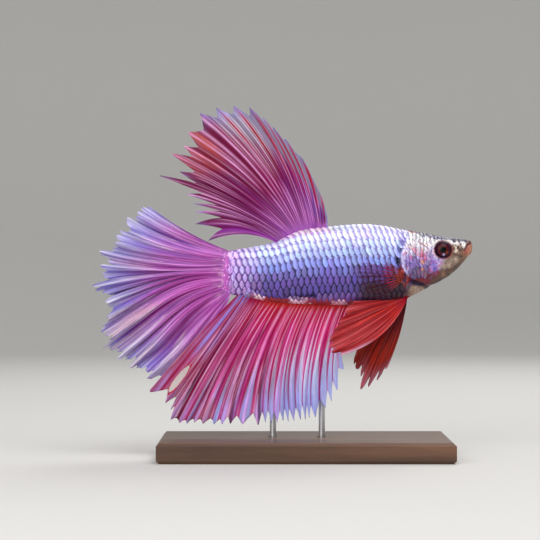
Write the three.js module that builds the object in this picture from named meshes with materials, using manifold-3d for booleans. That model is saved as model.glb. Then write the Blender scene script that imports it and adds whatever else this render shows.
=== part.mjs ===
// A male Siamese fighting fish (betta) at life size, with spread fins, held by two rods on a flat base.
// Millimetres, +Z up. The head points to +X, the flanks face -Y and +Y.
// The origin is the middle of the base's underside.
import * as THREE from "three";
import { mergeVertices } from "three/addons/utils/BufferGeometryUtils.js";
import Module from "manifold-3d";

const wasm = await Module();
wasm.setup();

// ---- driving dimensions ----------------------------------------------------
const GAP = 0.3; // clearance between neighbouring solids
const BODY_LENGTH = 48.5; // snout to the root of the tail fin
const SNOUT_X = 33.5;
const RING_POINTS = 20; // points round one section of the body
const RING_COUNT = 26; // sections from snout to tail
const FIN_THICKNESS = 0.56;
const ROOT_DEPTH = 0.9; // how far a fin's root is sunk in the body before it is trimmed

const BASE = { length: 58, width: 34, height: 4, chamfer: 0.6 };
const ROD = { radius: 0.65, side: 1.9, foot: 2.5, sides: 14 }; // both stand on the left of the fins
const ROD_PLACES = { stand_rod_rear: -6.4, stand_rod_front: 3.4 };
const EYE = { x: 27.4, z: 41.4, side: 1.95, radius: 1.85, bulge: 1.25, detail: 10 };

// Sections of the body: distance behind the snout, height of the back, height of the belly, half width.
const SECTIONS = [
  [0.0, 42.0, 42.0, 0.0],
  [0.3, 43.1, 40.7, 0.8],
  [1.1, 43.5, 39.9, 1.3],
  [3.3, 43.8, 37.4, 2.0],
  [6.3, 44.1, 35.0, 2.8],
  [9.1, 44.6, 33.7, 3.35],
  [13.1, 45.4, 31.7, 3.85],
  [18.5, 46.5, 30.6, 3.9],
  [22.9, 46.75, 30.3, 3.8],
  [28.9, 46.2, 30.3, 3.5],
  [34.5, 45.4, 30.5, 3.0],
  [39.5, 43.2, 30.8, 2.4],
  [43.5, 42.2, 31.5, 1.8],
  [48.5, 41.4, 32.4, 0.7],
];
const FLANK_POWER = 2.2; // 2 is an ellipse, more is flatter in the flank

// ---- curves through a short table -------------------------------------------
// Value of one column of a table at t, on a smooth curve through its rows. Column 0 is the place.
function along(table, column, t) {
  const last = table.length - 1;
  const at = Math.min(Math.max(t, table[0][0]), table[last][0]);
  let k = 0;
  while (k < last - 1 && at > table[k + 1][0]) k += 1;
  const slope = (i) => {
    const a = table[Math.max(i - 1, 0)];
    const b = table[Math.min(i + 1, last)];
    return (b[column] - a[column]) / (b[0] - a[0]);
  };
  const span = table[k + 1][0] - table[k][0];
  const s = (at - table[k][0]) / span;
  const rise = table[k + 1][column] - table[k][column];
  const ease = s * s * (3 - 2 * s);
  const leave = span * slope(k) * s * (1 - s) * (1 - s);
  const arrive = span * slope(k + 1) * s * s * (s - 1);
  return table[k][column] + rise * ease + leave + arrive;
}

// ---- body -------------------------------------------------------------------
// The sections are spaced by the root of the distance, which makes the snout round.
const ROUNDED = SECTIONS.map(([behind, ...rest]) => [Math.sqrt(behind / BODY_LENGTH), ...rest]);

function section(q) {
  return {
    x: SNOUT_X - BODY_LENGTH * q * q,
    back: along(ROUNDED, 1, q),
    belly: along(ROUNDED, 2, q),
    half: along(ROUNDED, 3, q),
  };
}

const placeOf = (x) => Math.sqrt(Math.max(SNOUT_X - x, 0) / BODY_LENGTH);
const backAt = (x) => section(placeOf(x)).back;
const bellyAt = (x) => section(placeOf(x)).belly;

// Distance of the flank from the middle plane at a place seen from the side.
function flankAt(x, z) {
  const { back, belly, half } = section(placeOf(x));
  const level = Math.abs((2 * z - back - belly) / (back - belly));
  return half * (1 - Math.min(level, 1) ** FLANK_POWER) ** (1 / FLANK_POWER);
}

// Height of the lower flank at a distance from the middle plane.
function underFlank(x, y) {
  const { back, belly, half } = section(placeOf(x));
  const level = (1 - (y / half) ** FLANK_POWER) ** (1 / FLANK_POWER);
  return (back + belly) / 2 - ((back - belly) / 2) * level;
}

const power = (value) => Math.sign(value) * Math.abs(value) ** (2 / FLANK_POWER);

// The whole body as one closed loft, grown outwards by extra.
function bodySolid(extra = 0) {
  const points = [];
  const faces = [];
  const first = section(0);
  points.push(first.x + extra, 0, first.back);
  for (let i = 1; i <= RING_COUNT; i += 1) {
    const { x, back, belly, half } = section(i / RING_COUNT);
    const middle = (back + belly) / 2;
    const tall = (back - belly) / 2 + extra;
    for (let j = 0; j < RING_POINTS; j += 1) {
      const turn = (2 * Math.PI * j) / RING_POINTS;
      const y = (half + extra) * power(Math.cos(turn));
      points.push(i === RING_COUNT ? x - extra : x, y, middle + tall * power(Math.sin(turn)));
    }
  }
  const end = section(1);
  points.push(end.x - extra, 0, (end.back + end.belly) / 2);
  const tail = points.length / 3 - 1;
  const ring = (i, j) => 1 + (i - 1) * RING_POINTS + (j % RING_POINTS);
  for (let j = 0; j < RING_POINTS; j += 1) {
    faces.push(0, ring(1, j), ring(1, j + 1));
    for (let i = 1; i < RING_COUNT; i += 1) {
      faces.push(ring(i, j), ring(i + 1, j), ring(i + 1, j + 1));
      faces.push(ring(i, j), ring(i + 1, j + 1), ring(i, j + 1));
    }
    faces.push(tail, ring(RING_COUNT, j + 1), ring(RING_COUNT, j));
  }
  return outwards(points, faces);
}

// ---- three.js geometry to solid and back --------------------------------------
function solidFrom(positions, triangles) {
  const mesh = { numProp: 3, vertProperties: positions, triVerts: triangles };
  return new wasm.Manifold(new wasm.Mesh(mesh));
}

// A solid from points and faces, turned inside out if its faces point inwards.
function outwards(points, faces) {
  const positions = new Float32Array(points);
  const made = solidFrom(positions, new Uint32Array(faces));
  return made.volume() > 0 ? made : solidFrom(positions, new Uint32Array(faces.reverse()));
}

function solidOf(geometry) {
  const plain = geometry.clone();
  plain.deleteAttribute("normal");
  plain.deleteAttribute("uv");
  const merged = mergeVertices(plain, 1e-4);
  return solidFrom(merged.attributes.position.array, new Uint32Array(merged.index.array));
}

function geometryOf(solid) {
  const { vertProperties, triVerts } = solid.getMesh();
  const geometry = new THREE.BufferGeometry();
  geometry.setAttribute("position", new THREE.BufferAttribute(vertProperties, 3));
  geometry.setIndex(new THREE.BufferAttribute(triVerts, 1));
  const shown = geometry.toNonIndexed();
  shown.computeVertexNormals();
  return shown;
}

// A closed outline in the side view (x, z), carried from one side of the fish to the other.
const PRISM_DEPTH = 16;

function prism(outline) {
  const shape = new THREE.Shape(outline.map(([x, z]) => new THREE.Vector2(x, z)));
  const geometry = new THREE.ExtrudeGeometry(shape, { depth: PRISM_DEPTH, bevelEnabled: false });
  geometry.translate(0, 0, -PRISM_DEPTH / 2);
  geometry.rotateX(Math.PI / 2);
  return solidOf(geometry);
}

// Points on a smooth line in the side view.
function smoothLine(points, steps) {
  const curve = new THREE.SplineCurve(points.map(([x, z]) => new THREE.Vector2(x, z)));
  return curve.getPoints(steps).map((p) => [p.x, p.y]);
}

// A thin saw cut that follows a line in the side view.
function kerf(line) {
  const offset = (side) =>
    line.map(([x, z], i) => {
      const [ax, az] = line[Math.max(i - 1, 0)];
      const [bx, bz] = line[Math.min(i + 1, line.length - 1)];
      const size = Math.hypot(bx - ax, bz - az);
      const half = (side * GAP) / 2;
      return [x - (half * (bz - az)) / size, z + (half * (bx - ax)) / size];
    });
  return prism([...offset(1), ...offset(-1).reverse()]);
}

// ---- parting lines of the body --------------------------------------------------
const GILL_LINE = smoothLine(
  [[20.4, 49], [20.0, 43.5], [18.8, 39.8], [19.7, 36.8], [22.2, 34.9], [24.6, 33.6], [25.4, 28]],
  12,
);
const JAW_LINE = smoothLine(
  [[35.5, 42.9], [32.6, 42.4], [31.9, 41.0], [30.2, 38.7], [28.8, 36.6], [28.4, 32]],
  9,
);
const TAIL_LINE = smoothLine([[-7.6, 48], [-7.2, 37], [-7.6, 26]], 4);
const GILL_COVER = smoothLine(
  [
    [20.7, 42.9], [19.2, 39.7], [20.0, 36.9], [22.0, 35.3], [23.9, 35.6],
    [24.7, 37.8], [23.9, 40.5], [22.6, 42.6], [20.7, 42.9],
  ],
  16,
).slice(0, -1);

// Grows an outline outwards from its middle by about the given distance.
function grown(outline, distance) {
  const cx = outline.reduce((sum, [x]) => sum + x, 0) / outline.length;
  const cz = outline.reduce((sum, [, z]) => sum + z, 0) / outline.length;
  return outline.map(([x, z]) => {
    const far = Math.hypot(x - cx, z - cz);
    const scale = (far + distance) / far;
    return [cx + (x - cx) * scale, cz + (z - cz) * scale];
  });
}

const COVER_RISE = 0.15; // a gill cover stands this proud of the cheek
const COVER_DEPTH = 0.5; // and reaches this far into it

function eyeball(side, extra = 0) {
  const geometry = new THREE.SphereGeometry(1, EYE.detail + 2, EYE.detail / 2 + 2);
  geometry.rotateX(Math.PI / 2);
  geometry.scale(EYE.radius + extra, EYE.bulge + extra, EYE.radius + extra);
  geometry.translate(EYE.x, side * EYE.side, EYE.z);
  return solidOf(geometry);
}

// The gill covers, the body's pieces and the eyes, each as [name, solid, finish].
function fleshPieces() {
  const whole = bodySolid();
  const cover = bodySolid(COVER_RISE).intersect(prism(GILL_COVER)).subtract(bodySolid(-COVER_DEPTH));
  const pocket = prism(grown(GILL_COVER, GAP)).subtract(bodySolid(-COVER_DEPTH - GAP));
  let rest = whole.subtract(pocket);
  for (const line of [GILL_LINE, JAW_LINE, TAIL_LINE]) rest = rest.subtract(kerf(line));
  for (const side of [-1, 1]) rest = rest.subtract(eyeball(side, GAP));
  const body = inOrder(rest, 4, 0);
  const covers = inOrder(cover, 2, 1);
  const names = ["tail_stalk", "trunk", "head", "lower_jaw"];
  return [
    ...body.map((solid, i) => [names[i], solid, "skin"]),
    ["gill_cover_right", covers[0], "skin"],
    ["gill_cover_left", covers[1], "skin"],
    ["eye_right", eyeball(-1), "eye"],
    ["eye_left", eyeball(1), "eye"],
  ];
}

// The largest separate pieces of a solid, in order along an axis (0 is X, 1 is Y).
function inOrder(solid, count, axis) {
  const middle = (piece) => piece.boundingBox().min[axis] + piece.boundingBox().max[axis];
  const pieces = solid.decompose().sort((a, b) => b.volume() - a.volume());
  return pieces.slice(0, count).sort((a, b) => middle(a) - middle(b));
}

// ---- fins ---------------------------------------------------------------------
// Each fin is a fan of rays with a web between them. A row of its table gives: place along the root
// (0 to 1), the ray's direction in degrees in the side view, its length, its bow (sideways, in
// lengths), the sway of its tip to +Y, and the depth of the notch beside its tip in lengths.
const FINS = {
  dorsal_fin: {
    root: (u) => [4.6 - 10.8 * u, backAt(4.6 - 10.8 * u)],
    rayCount: 22,
    pleat: 0.5,
    columns: 2,
    rows: 6,
    rays: [
      [0.0, 95, 2.6, 0.0, 0.0, 0.1],
      [0.14, 104, 12.4, -0.045, 0.3, 0.05],
      [0.27, 111, 21.0, -0.053, 0.6, 0.04],
      [0.41, 116, 27.2, -0.056, 0.7, 0.04],
      [0.55, 130, 30.4, -0.05, 0.5, 0.04],
      [0.59, 136, 29.6, -0.05, 0.3, 0.06],
      [0.64, 141, 28.0, -0.047, 0.1, 0.08],
      [0.68, 145, 28.7, -0.045, -0.2, 0.1],
      [0.73, 149.5, 25.2, -0.048, -0.5, 0.14],
      [0.77, 154.5, 27.4, -0.05, -0.7, 0.24],
      [0.82, 156.5, 21.1, -0.055, -0.9, 0.26],
      [0.91, 163, 17.4, -0.085, -1.2, 0.28],
      [0.955, 170, 16.3, -0.1, -1.3, 0.3],
      [1.0, 180.5, 13.5, -0.11, -1.4, 0.25],
    ],
  },
  anal_fin: {
    root: (u) => [9.4 - 23.2 * u, bellyAt(9.4 - 23.2 * u)],
    rayCount: 26,
    pleat: 0.45,
    columns: 2,
    rows: 6,
    rays: [
      [0.0, 263, 12.7, -0.11, 0.2, 0.1],
      [0.04, 262, 17.6, -0.08, 0.3, 0.12],
      [0.08, 261.5, 19.5, -0.07, 0.3, 0.09],
      [0.15, 260, 21.8, -0.065, 0.2, 0.07],
      [0.35, 259.5, 23.4, -0.07, 0.0, 0.06],
      [0.5, 255, 24.7, -0.049, -0.2, 0.05],
      [0.65, 247, 26.3, -0.031, -0.5, 0.05],
      [0.77, 241, 28.0, -0.024, -1.0, 0.05],
      [0.85, 238.5, 28.8, -0.015, -1.4, 0.05],
      [0.885, 236.5, 28.6, -0.008, -1.7, 0.07],
      [0.925, 235, 26.4, 0.0, -2.0, 0.1],
      [1.0, 227.5, 25.4, 0.017, -2.5, 0.1],
    ],
  },
  tail_fin: {
    root: (u) => [-14.75 - 0.5 * Math.sin(Math.PI * u), 41.1 - 8.6 * u],
    rayCount: 16,
    pleat: 0.6,
    columns: 4,
    rows: 5,
    rays: [
      [0.0, 151.5, 17.8, 0.039, 0.4, 0.08],
      [0.0625, 157, 20.5, 0.042, 0.3, 0.08],
      [0.25, 172, 23.4, 0.046, -0.1, 0.07],
      [0.3125, 174.5, 25.3, 0.04, -0.2, 0.09],
      [0.375, 179.5, 24.8, 0.031, -0.3, 0.08],
      [0.4375, 187, 27.5, -0.02, -0.1, 0.08],
      [0.5625, 193.5, 25.1, -0.045, 0.3, 0.08],
      [0.625, 201, 27.7, -0.067, 0.5, 0.09],
      [0.75, 210, 25.9, -0.045, 1.2, 0.07],
      [0.875, 217.5, 23.6, -0.045, 2.0, 0.06],
      [1.0, 230, 19.8, 0.016, 2.8, 0.06],
    ],
  },
};

const PELVIC = { x: 20.0, side: 0.9, spread: 1.0, rayCount: 5, pleat: 0.3, columns: 2, rows: 5 };
const PELVIC_RIGHT_RAYS = [
  [0.0, 190, 10.4, 0.04, -2.6, 0.06],
  [0.25, 197, 13.5, 0.0, -3.2, 0.05],
  [0.5, 205.5, 16.8, -0.01, -3.8, 0.04],
  [0.8, 213, 18.6, 0.06, -4.2, 0.06],
  [1.0, 218, 17.5, 0.125, -4.0, 0.06],
];
const PELVIC_LEFT_RAYS = [
  [0.0, 229.5, 14.0, -0.09, 3.4, 0.04],
  [0.2, 234.5, 17.2, -0.07, 3.4, 0.05],
  [0.4, 240.5, 18.2, -0.04, 3.3, 0.1],
  [0.6, 245, 20.9, -0.01, 3.2, 0.15],
  [0.8, 249.5, 18.7, 0.01, 3.0, 0.15],
  [1.0, 254.5, 14.4, 0.03, 2.8, 0.05],
];

const PECTORAL = { x: 18.9, z: 36.1, height: 2.2, rayCount: 9, pleat: 0.1, columns: 2, rows: 3 };
const PECTORAL_RAYS = [
  [0.0, 150, 7.2, -0.04, 4.4, 0.03],
  [0.3, 166, 8.6, -0.03, 4.9, 0.03],
  [0.6, 185, 8.4, 0.0, 4.6, 0.03],
  [1.0, 214, 5.6, 0.04, 3.2, 0.03],
];

// A pelvic fin's short root lies square to the middle of its fan.
function pelvicFin(side, rays) {
  const { x, side: out, spread, ...rest } = PELVIC;
  const middle = THREE.MathUtils.degToRad((rays[0][1] + rays[rays.length - 1][1]) / 2);
  const root = (u) => {
    const off = spread * (0.5 - u);
    return [x + off * Math.sin(middle), bellyAt(x) + 0.1 - off * Math.cos(middle)];
  };
  return { ...rest, root, rays, level: side * out };
}

function pectoralFin(side) {
  const { x, z, height, ...rest } = PECTORAL;
  const root = (u) => [x, z + height * (0.5 - u)];
  const rays = PECTORAL_RAYS.map((ray) => ray.with(4, side * ray[4]));
  return { ...rest, root, rays, level: side * (flankAt(x, z) - 0.1) };
}

const RIPPLE_POWER = 1.2; // how the pleats deepen from root to edge
const SWAY_POWER = 1.5; // and how the sway of a ray grows along it

// A point of a fin: u across the rays, far from the root towards the tip of that ray in mm.
function finPoint(fin, u, far) {
  const [x, z] = fin.root(u);
  const turn = THREE.MathUtils.degToRad(along(fin.rays, 1, u));
  const length = along(fin.rays, 2, u);
  const share = far / length;
  const bow = 4 * along(fin.rays, 3, u) * share * (1 - share) * length;
  const out = Math.max(share, 0);
  const fade = Math.min(1, 8 * Math.min(u, 1 - u) + 0.2);
  const wave = fin.pleat * fade * Math.cos(2 * Math.PI * fin.rayCount * u) * out ** RIPPLE_POWER;
  return new THREE.Vector3(
    x + far * Math.cos(turn) - bow * Math.sin(turn),
    (fin.level ?? 0) + along(fin.rays, 4, u) * out ** SWAY_POWER + wave,
    z + far * Math.sin(turn) + bow * Math.cos(turn),
  );
}

// How far a ray or the web beside it reaches: full length on a ray, less in the notch between two.
function reach(fin, u) {
  const place = fin.rayCount * u;
  const beside = 2 * Math.abs(place - Math.round(place));
  return along(fin.rays, 2, u) * (1 - along(fin.rays, 5, u) * beside);
}

// The fin as a closed vane of even thickness, with its root sunk in the body.
function vane(fin) {
  const columns = fin.rayCount * fin.columns;
  const { rows } = fin;
  const step = 1e-3;
  const points = [];
  const faces = [];
  const stations = [];
  for (let i = 0; i <= columns; i += 1) {
    const u = i / columns;
    for (let j = 0; j <= rows; j += 1) {
      const far = -ROOT_DEPTH + ((reach(fin, u) + ROOT_DEPTH) * j) / rows;
      const place = finPoint(fin, u, far);
      const a = Math.max(u - step, 0);
      const b = Math.min(u + step, 1);
      const across = finPoint(fin, b, far).sub(finPoint(fin, a, far));
      const outward = finPoint(fin, u, far + step).sub(finPoint(fin, u, far - step));
      stations.push({ place, normal: across.cross(outward).normalize() });
    }
  }
  for (const side of [-0.5, 0.5]) {
    for (const { place, normal } of stations) {
      const p = place.clone().addScaledVector(normal, side * FIN_THICKNESS);
      points.push(p.x, p.y, p.z);
    }
  }
  const at = (i, j, back) => i * (rows + 1) + j + back * stations.length;
  const quad = (a, b, c, d) => faces.push(a, b, c, a, c, d);
  for (let i = 0; i < columns; i += 1) {
    for (let j = 0; j < rows; j += 1) {
      quad(at(i, j, 0), at(i, j + 1, 0), at(i + 1, j + 1, 0), at(i + 1, j, 0));
      quad(at(i, j, 1), at(i + 1, j, 1), at(i + 1, j + 1, 1), at(i, j + 1, 1));
    }
    quad(at(i, 0, 0), at(i + 1, 0, 0), at(i + 1, 0, 1), at(i, 0, 1));
    quad(at(i, rows, 0), at(i, rows, 1), at(i + 1, rows, 1), at(i + 1, rows, 0));
  }
  for (let j = 0; j < rows; j += 1) {
    quad(at(0, j, 0), at(0, j, 1), at(0, j + 1, 1), at(0, j + 1, 0));
    quad(at(columns, j, 0), at(columns, j + 1, 0), at(columns, j + 1, 1), at(columns, j, 1));
  }
  return outwards(points, faces);
}

const largest = (solid) => inOrder(solid, 1, 0)[0];

function finPieces() {
  const clear = bodySolid(GAP);
  const fins = {
    ...FINS,
    pelvic_fin_right: pelvicFin(-1, PELVIC_RIGHT_RAYS),
    pelvic_fin_left: pelvicFin(1, PELVIC_LEFT_RAYS),
    pectoral_fin_right: pectoralFin(-1),
    pectoral_fin_left: pectoralFin(1),
  };
  return Object.entries(fins).map(([name, fin]) => {
    const finish = name.startsWith("pelvic") ? "red_fin" : "fin";
    return [name, largest(vane(fin).subtract(clear)), finish];
  });
}

// ---- display stand ---------------------------------------------------------------
function baseSolid() {
  const { length, width, height, chamfer } = BASE;
  const shape = new THREE.Shape();
  const [hx, hy] = [length / 2 - chamfer, width / 2 - chamfer];
  shape.moveTo(-hx, -hy);
  shape.lineTo(hx, -hy);
  shape.lineTo(hx, hy);
  shape.lineTo(-hx, hy);
  shape.closePath();
  const geometry = new THREE.ExtrudeGeometry(shape, {
    depth: height - 2 * chamfer,
    bevelThickness: chamfer,
    bevelSize: chamfer,
    bevelSegments: 1,
  });
  geometry.translate(0, 0, chamfer);
  return solidOf(geometry);
}

// A rod from inside the base up to where its axis meets the flank.
function rodSolid(x, extra = 0) {
  const bottom = ROD.foot - extra;
  const top = underFlank(x, ROD.side);
  const radius = ROD.radius + extra;
  const geometry = new THREE.CylinderGeometry(radius, radius, top - bottom, ROD.sides);
  geometry.rotateX(Math.PI / 2);
  geometry.translate(x, ROD.side, (top + bottom) / 2);
  return solidOf(geometry);
}

function standPieces() {
  const clear = bodySolid(GAP);
  const rods = Object.entries(ROD_PLACES);
  const base = rods.reduce((solid, [, x]) => solid.subtract(rodSolid(x, GAP)), baseSolid());
  const cut = rods.map(([name, x]) => [name, largest(rodSolid(x).subtract(clear)), "steel"]);
  return [["stand_base", base, "walnut"], ...cut];
}

// ---- the model ---------------------------------------------------------------------
const FINISHES = {
  skin: new THREE.MeshStandardMaterial({ color: 0xa9a4dd, roughness: 0.35, metalness: 0.1 }),
  fin: new THREE.MeshStandardMaterial({ color: 0xb659a8, roughness: 0.5, metalness: 0 }),
  red_fin: new THREE.MeshStandardMaterial({ color: 0xc8352c, roughness: 0.5, metalness: 0 }),
  eye: new THREE.MeshStandardMaterial({ color: 0x3a0d14, roughness: 0.1, metalness: 0 }),
  steel: new THREE.MeshStandardMaterial({ color: 0xb8babd, roughness: 0.3, metalness: 1 }),
  walnut: new THREE.MeshStandardMaterial({ color: 0x4a2f20, roughness: 0.45, metalness: 0 }),
};

const fish = new THREE.Group();
for (const [name, solid, finish] of [...fleshPieces(), ...finPieces(), ...standPieces()]) {
  const mesh = new THREE.Mesh(geometryOf(solid), FINISHES[finish]);
  mesh.name = name;
  fish.add(mesh);
}

export default fish;
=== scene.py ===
"""The looks of a life-size male Siamese fighting fish (betta) on a display stand, built on its CAD model.

Sizes are worked out in millimetres and stored in metres. The head points to +X, up is +Z.
"""

import math
from types import SimpleNamespace

import bmesh
import bpy
import numpy as np
from mathutils import Matrix, Vector


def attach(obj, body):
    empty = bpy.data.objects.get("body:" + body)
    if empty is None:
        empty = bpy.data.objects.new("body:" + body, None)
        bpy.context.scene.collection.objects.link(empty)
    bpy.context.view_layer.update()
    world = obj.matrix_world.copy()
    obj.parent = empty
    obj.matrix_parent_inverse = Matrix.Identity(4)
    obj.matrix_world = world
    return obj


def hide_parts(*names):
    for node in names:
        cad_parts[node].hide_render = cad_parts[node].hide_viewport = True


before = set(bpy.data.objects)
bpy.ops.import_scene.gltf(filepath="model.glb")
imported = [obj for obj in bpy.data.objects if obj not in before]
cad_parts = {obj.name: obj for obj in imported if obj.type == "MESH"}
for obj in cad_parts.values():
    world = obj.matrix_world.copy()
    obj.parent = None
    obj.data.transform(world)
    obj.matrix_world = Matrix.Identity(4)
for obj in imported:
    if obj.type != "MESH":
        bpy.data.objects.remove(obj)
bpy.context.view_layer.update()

bl_info = {
    "name": "Betta display model",
    "version": (1, 0, 0),
    "blender": (4, 5, 0),
    "location": "View3D > Sidebar > Betta",
    "description": "Builds a life-size betta with scales and spread fins on its stand",
    "category": "Object",
}

MM = 0.001

# ---- the body's and the fins' own measures, in millimetres ---------------------------------------
BODY_LENGTH = 48.5
SNOUT_X = 33.5
TAIL_END_X = -17.0  # the skin thins out over the root of the tail fin as far as this
FLANK_POWER = 2.2  # 2 is an ellipse, more is flatter in the flank
TAIL_THINNING = 0.68  # the share of its width that the body loses over the root of the tail fin

# Sections of the body: distance behind the snout, height of the back, height of the belly, half width.
SECTIONS = (
    (0.0, 42.0, 42.0, 0.0),
    (0.3, 43.1, 40.7, 0.8),
    (1.1, 43.5, 39.9, 1.3),
    (3.3, 43.8, 37.4, 2.0),
    (6.3, 44.1, 35.0, 2.8),
    (9.1, 44.6, 33.7, 3.35),
    (13.1, 45.4, 31.7, 3.85),
    (18.5, 46.5, 30.6, 3.9),
    (22.9, 46.75, 30.3, 3.8),
    (28.9, 46.2, 30.3, 3.5),
    (34.5, 45.4, 30.5, 3.0),
    (39.5, 43.2, 30.8, 2.4),
    (43.5, 42.2, 31.5, 1.8),
    (48.5, 41.4, 32.4, 0.7),
)
ROUNDED = [(math.sqrt(row[0] / BODY_LENGTH), *row[1:]) for row in SECTIONS]

EYE = {"x": 27.4, "z": 41.4, "side": 1.95, "radius": 1.85, "bulge": 1.25}

# Lines on the head, in the side view (x, z).
GILL_EDGE = ((20.6, 45.0), (20.0, 43.3), (18.9, 40.2), (19.5, 37.2), (21.6, 35.2), (24.2, 34.6))
CHEEK_EDGE = ((20.7, 41.8), (22.4, 41.2), (23.8, 39.8), (24.5, 37.6), (24.3, 35.6))
JAW_EDGE = ((30.3, 37.7), (29.2, 36.5), (27.6, 35.35), (25.4, 34.35), (23.6, 34.4), (21.0, 35.3))
MOUTH_SLIT = ((33.9, 43.5), (33.2, 42.9), (32.3, 42.2), (31.7, 41.1))
LIP_FOLD = ((31.9, 43.9), (31.3, 42.9), (31.0, 41.7), (31.3, 40.6))
CROWN_LINE = ((21.5, 44.85), (24.4, 44.1), (27.2, 43.65), (30.2, 43.35), (33.2, 43.0))
# Small marks there (x, z, half width).
NOSTRILS = ((29.75, 43.1, 0.24), (30.7, 43.2, 0.16))
TANGERINE_SPOTS = (
    (23.5, 37.6, 0.55), (23.3, 38.9, 0.42), (24.0, 36.6, 0.4), (22.9, 42.6, 0.3), (24.2, 42.3, 0.28),
    (23.4, 41.6, 0.22),
)
# The first two snout spots lie in the nostrils: there the dark is painted shade in the pits.
SNOUT_SPOTS = (
    (29.75, 43.1, 0.36), (30.7, 43.0, 0.26), (30.4, 42.1, 0.22), (30.9, 41.4, 0.2), (31.0, 42.6, 0.22),
    (30.0, 40.4, 0.2), (29.3, 39.2, 0.18), (31.1, 40.1, 0.2), (28.2, 37.6, 0.2), (29.8, 38.2, 0.16),
)

RIPPLE_POWER = 1.2  # how the pleats deepen from root to edge
SWAY_POWER = 1.5  # and how the sway of a ray grows along it
RAY_DRIFT = ((0.013, 5), (0.0075, 9), (-0.0045, 14))  # uneven spacing of the rays: (size, half waves)
# Broad waves of a fin: size, and the turn from ray to ray and from root to tip, in radians.
SWELLS = ((1.0, 1.75, 4.2), (0.6, 3.1, -2.6))
SWELL_POWER = 1.6  # how they grow along a ray
WANDER = 0.22  # how far a long ray bends off its bow, in millimetres
RAY_RIPPLE = 0.07  # how far the web waves to and fro from ray to ray, in millimetres
REAR_SLANT = 20  # how much more the edges of the outer lobes slant than those in the middle

# Each fin is a fan of rays. A row gives: place along the root (0 to 1), the ray's direction in degrees
# in the side view, its length, its bow (sideways, in lengths), the sway of its tip to +Y, and the depth
# of the notch beside its tip in lengths.
DORSAL_RAYS = (
    (0.0, 95, 2.6, 0.0, 0.0, 0.1),
    (0.15, 104.5, 14.2, -0.045, 0.3, 0.05),
    (0.27, 111, 21.0, -0.053, 0.6, 0.04),
    (0.41, 116, 27.2, -0.056, 0.7, 0.04),
    (0.55, 130, 30.4, -0.05, 0.5, 0.04),
    (0.6, 137, 29.6, -0.05, 0.3, 0.06),
    (0.644, 141.5, 27.9, -0.047, 0.1, 0.08),
    (0.689, 146, 28.7, -0.045, -0.2, 0.1),
    (0.733, 149.5, 25.2, -0.048, -0.5, 0.14),
    (0.778, 154.5, 28.0, -0.05, -0.7, 0.24),
    (0.822, 156.3, 21.3, -0.055, -0.9, 0.24),
    (0.911, 162, 17.5, -0.085, -1.2, 0.28),
    (0.956, 169.5, 16.5, -0.1, -1.3, 0.3),
    (1.0, 180.5, 13.5, -0.11, -1.4, 0.25),
)
ANAL_RAYS = (
    (0.0, 263, 12.7, -0.11, 0.2, 0.1),
    (0.04, 262.5, 18.2, -0.08, 0.3, 0.12),
    (0.08, 262, 20.2, -0.07, 0.3, 0.09),
    (0.15, 260.5, 22.4, -0.065, 0.2, 0.07),
    (0.35, 259.5, 23.6, -0.082, 0.0, 0.06),
    (0.5, 255, 24.7, -0.07, -0.2, 0.05),
    (0.65, 247, 26.3, -0.048, -0.5, 0.05),
    (0.77, 241, 28.0, -0.024, -1.0, 0.05),
    (0.85, 238.5, 28.8, -0.015, -1.4, 0.05),
    (0.885, 236.5, 28.6, -0.008, -1.7, 0.07),
    (0.925, 235, 26.4, 0.0, -2.0, 0.1),
    (1.0, 227.5, 25.4, -0.012, -2.5, 0.1),
)
TAIL_RAYS = (
    (0.0, 151, 18.9, 0.039, 0.4, 0.08),
    (0.0625, 156, 21.5, 0.042, 0.3, 0.08),
    (0.16, 164, 22.6, 0.046, 0.1, 0.08),
    (0.25, 171.5, 24.4, 0.046, -0.1, 0.07),
    (0.3125, 174.5, 26.2, 0.04, -0.2, 0.09),
    (0.375, 179.5, 25.6, 0.031, -0.3, 0.08),
    (0.4375, 187, 27.35, -0.03, -0.1, 0.08),
    (0.5625, 193.5, 25.4, -0.062, 0.3, 0.08),
    (0.625, 201, 27.9, -0.085, 0.5, 0.09),
    (0.6875, 206, 28.4, -0.078, 0.8, 0.08),
    (0.75, 210, 28.0, -0.07, 1.2, 0.07),
    (0.875, 219, 25.2, -0.045, 2.0, 0.06),
    (0.94, 226, 24.2, 0.01, 2.4, 0.06),
    (1.0, 232, 20.5, 0.075, 2.8, 0.06),
)
PELVIC_RIGHT_RAYS = (
    (0.0, 184.5, 10.6, 0.03, -2.6, 0.06),
    (0.25, 197, 13.5, 0.0, -3.2, 0.05),
    (0.5, 205.5, 16.8, -0.01, -3.8, 0.04),
    (0.8, 213, 18.6, 0.06, -4.2, 0.06),
    (1.0, 218, 17.5, 0.125, -4.0, 0.06),
)
PELVIC_LEFT_RAYS = (
    (0.0, 229.5, 14.0, -0.09, 3.4, 0.04),
    (0.2, 234.5, 17.2, -0.07, 3.4, 0.05),
    (0.4, 240.5, 18.2, -0.04, 3.3, 0.1),
    (0.6, 245, 20.9, -0.01, 3.2, 0.15),
    (0.8, 249.5, 18.7, 0.01, 3.0, 0.15),
    (1.0, 254.5, 14.4, 0.03, 2.8, 0.05),
)
PECTORAL_RAYS = (
    (0.0, 150, 7.2, -0.04, 4.4, 0.03),
    (0.3, 166, 8.6, -0.03, 4.9, 0.03),
    (0.6, 185, 8.4, 0.0, 4.6, 0.03),
    (1.0, 214, 5.6, 0.04, 3.2, 0.03),
)
PELVIC_ROOT = {"x": 20.0, "side": 0.9, "spread": 1.0}
PECTORAL_ROOT = {"x": 18.9, "z": 36.1, "height": 2.2}
ROOT_DEPTH = 0.9  # how far a fin's root is sunk in the body
EDGE_THINNING = 0.55  # the share of its thickness that a fin loses towards its edge


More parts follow.
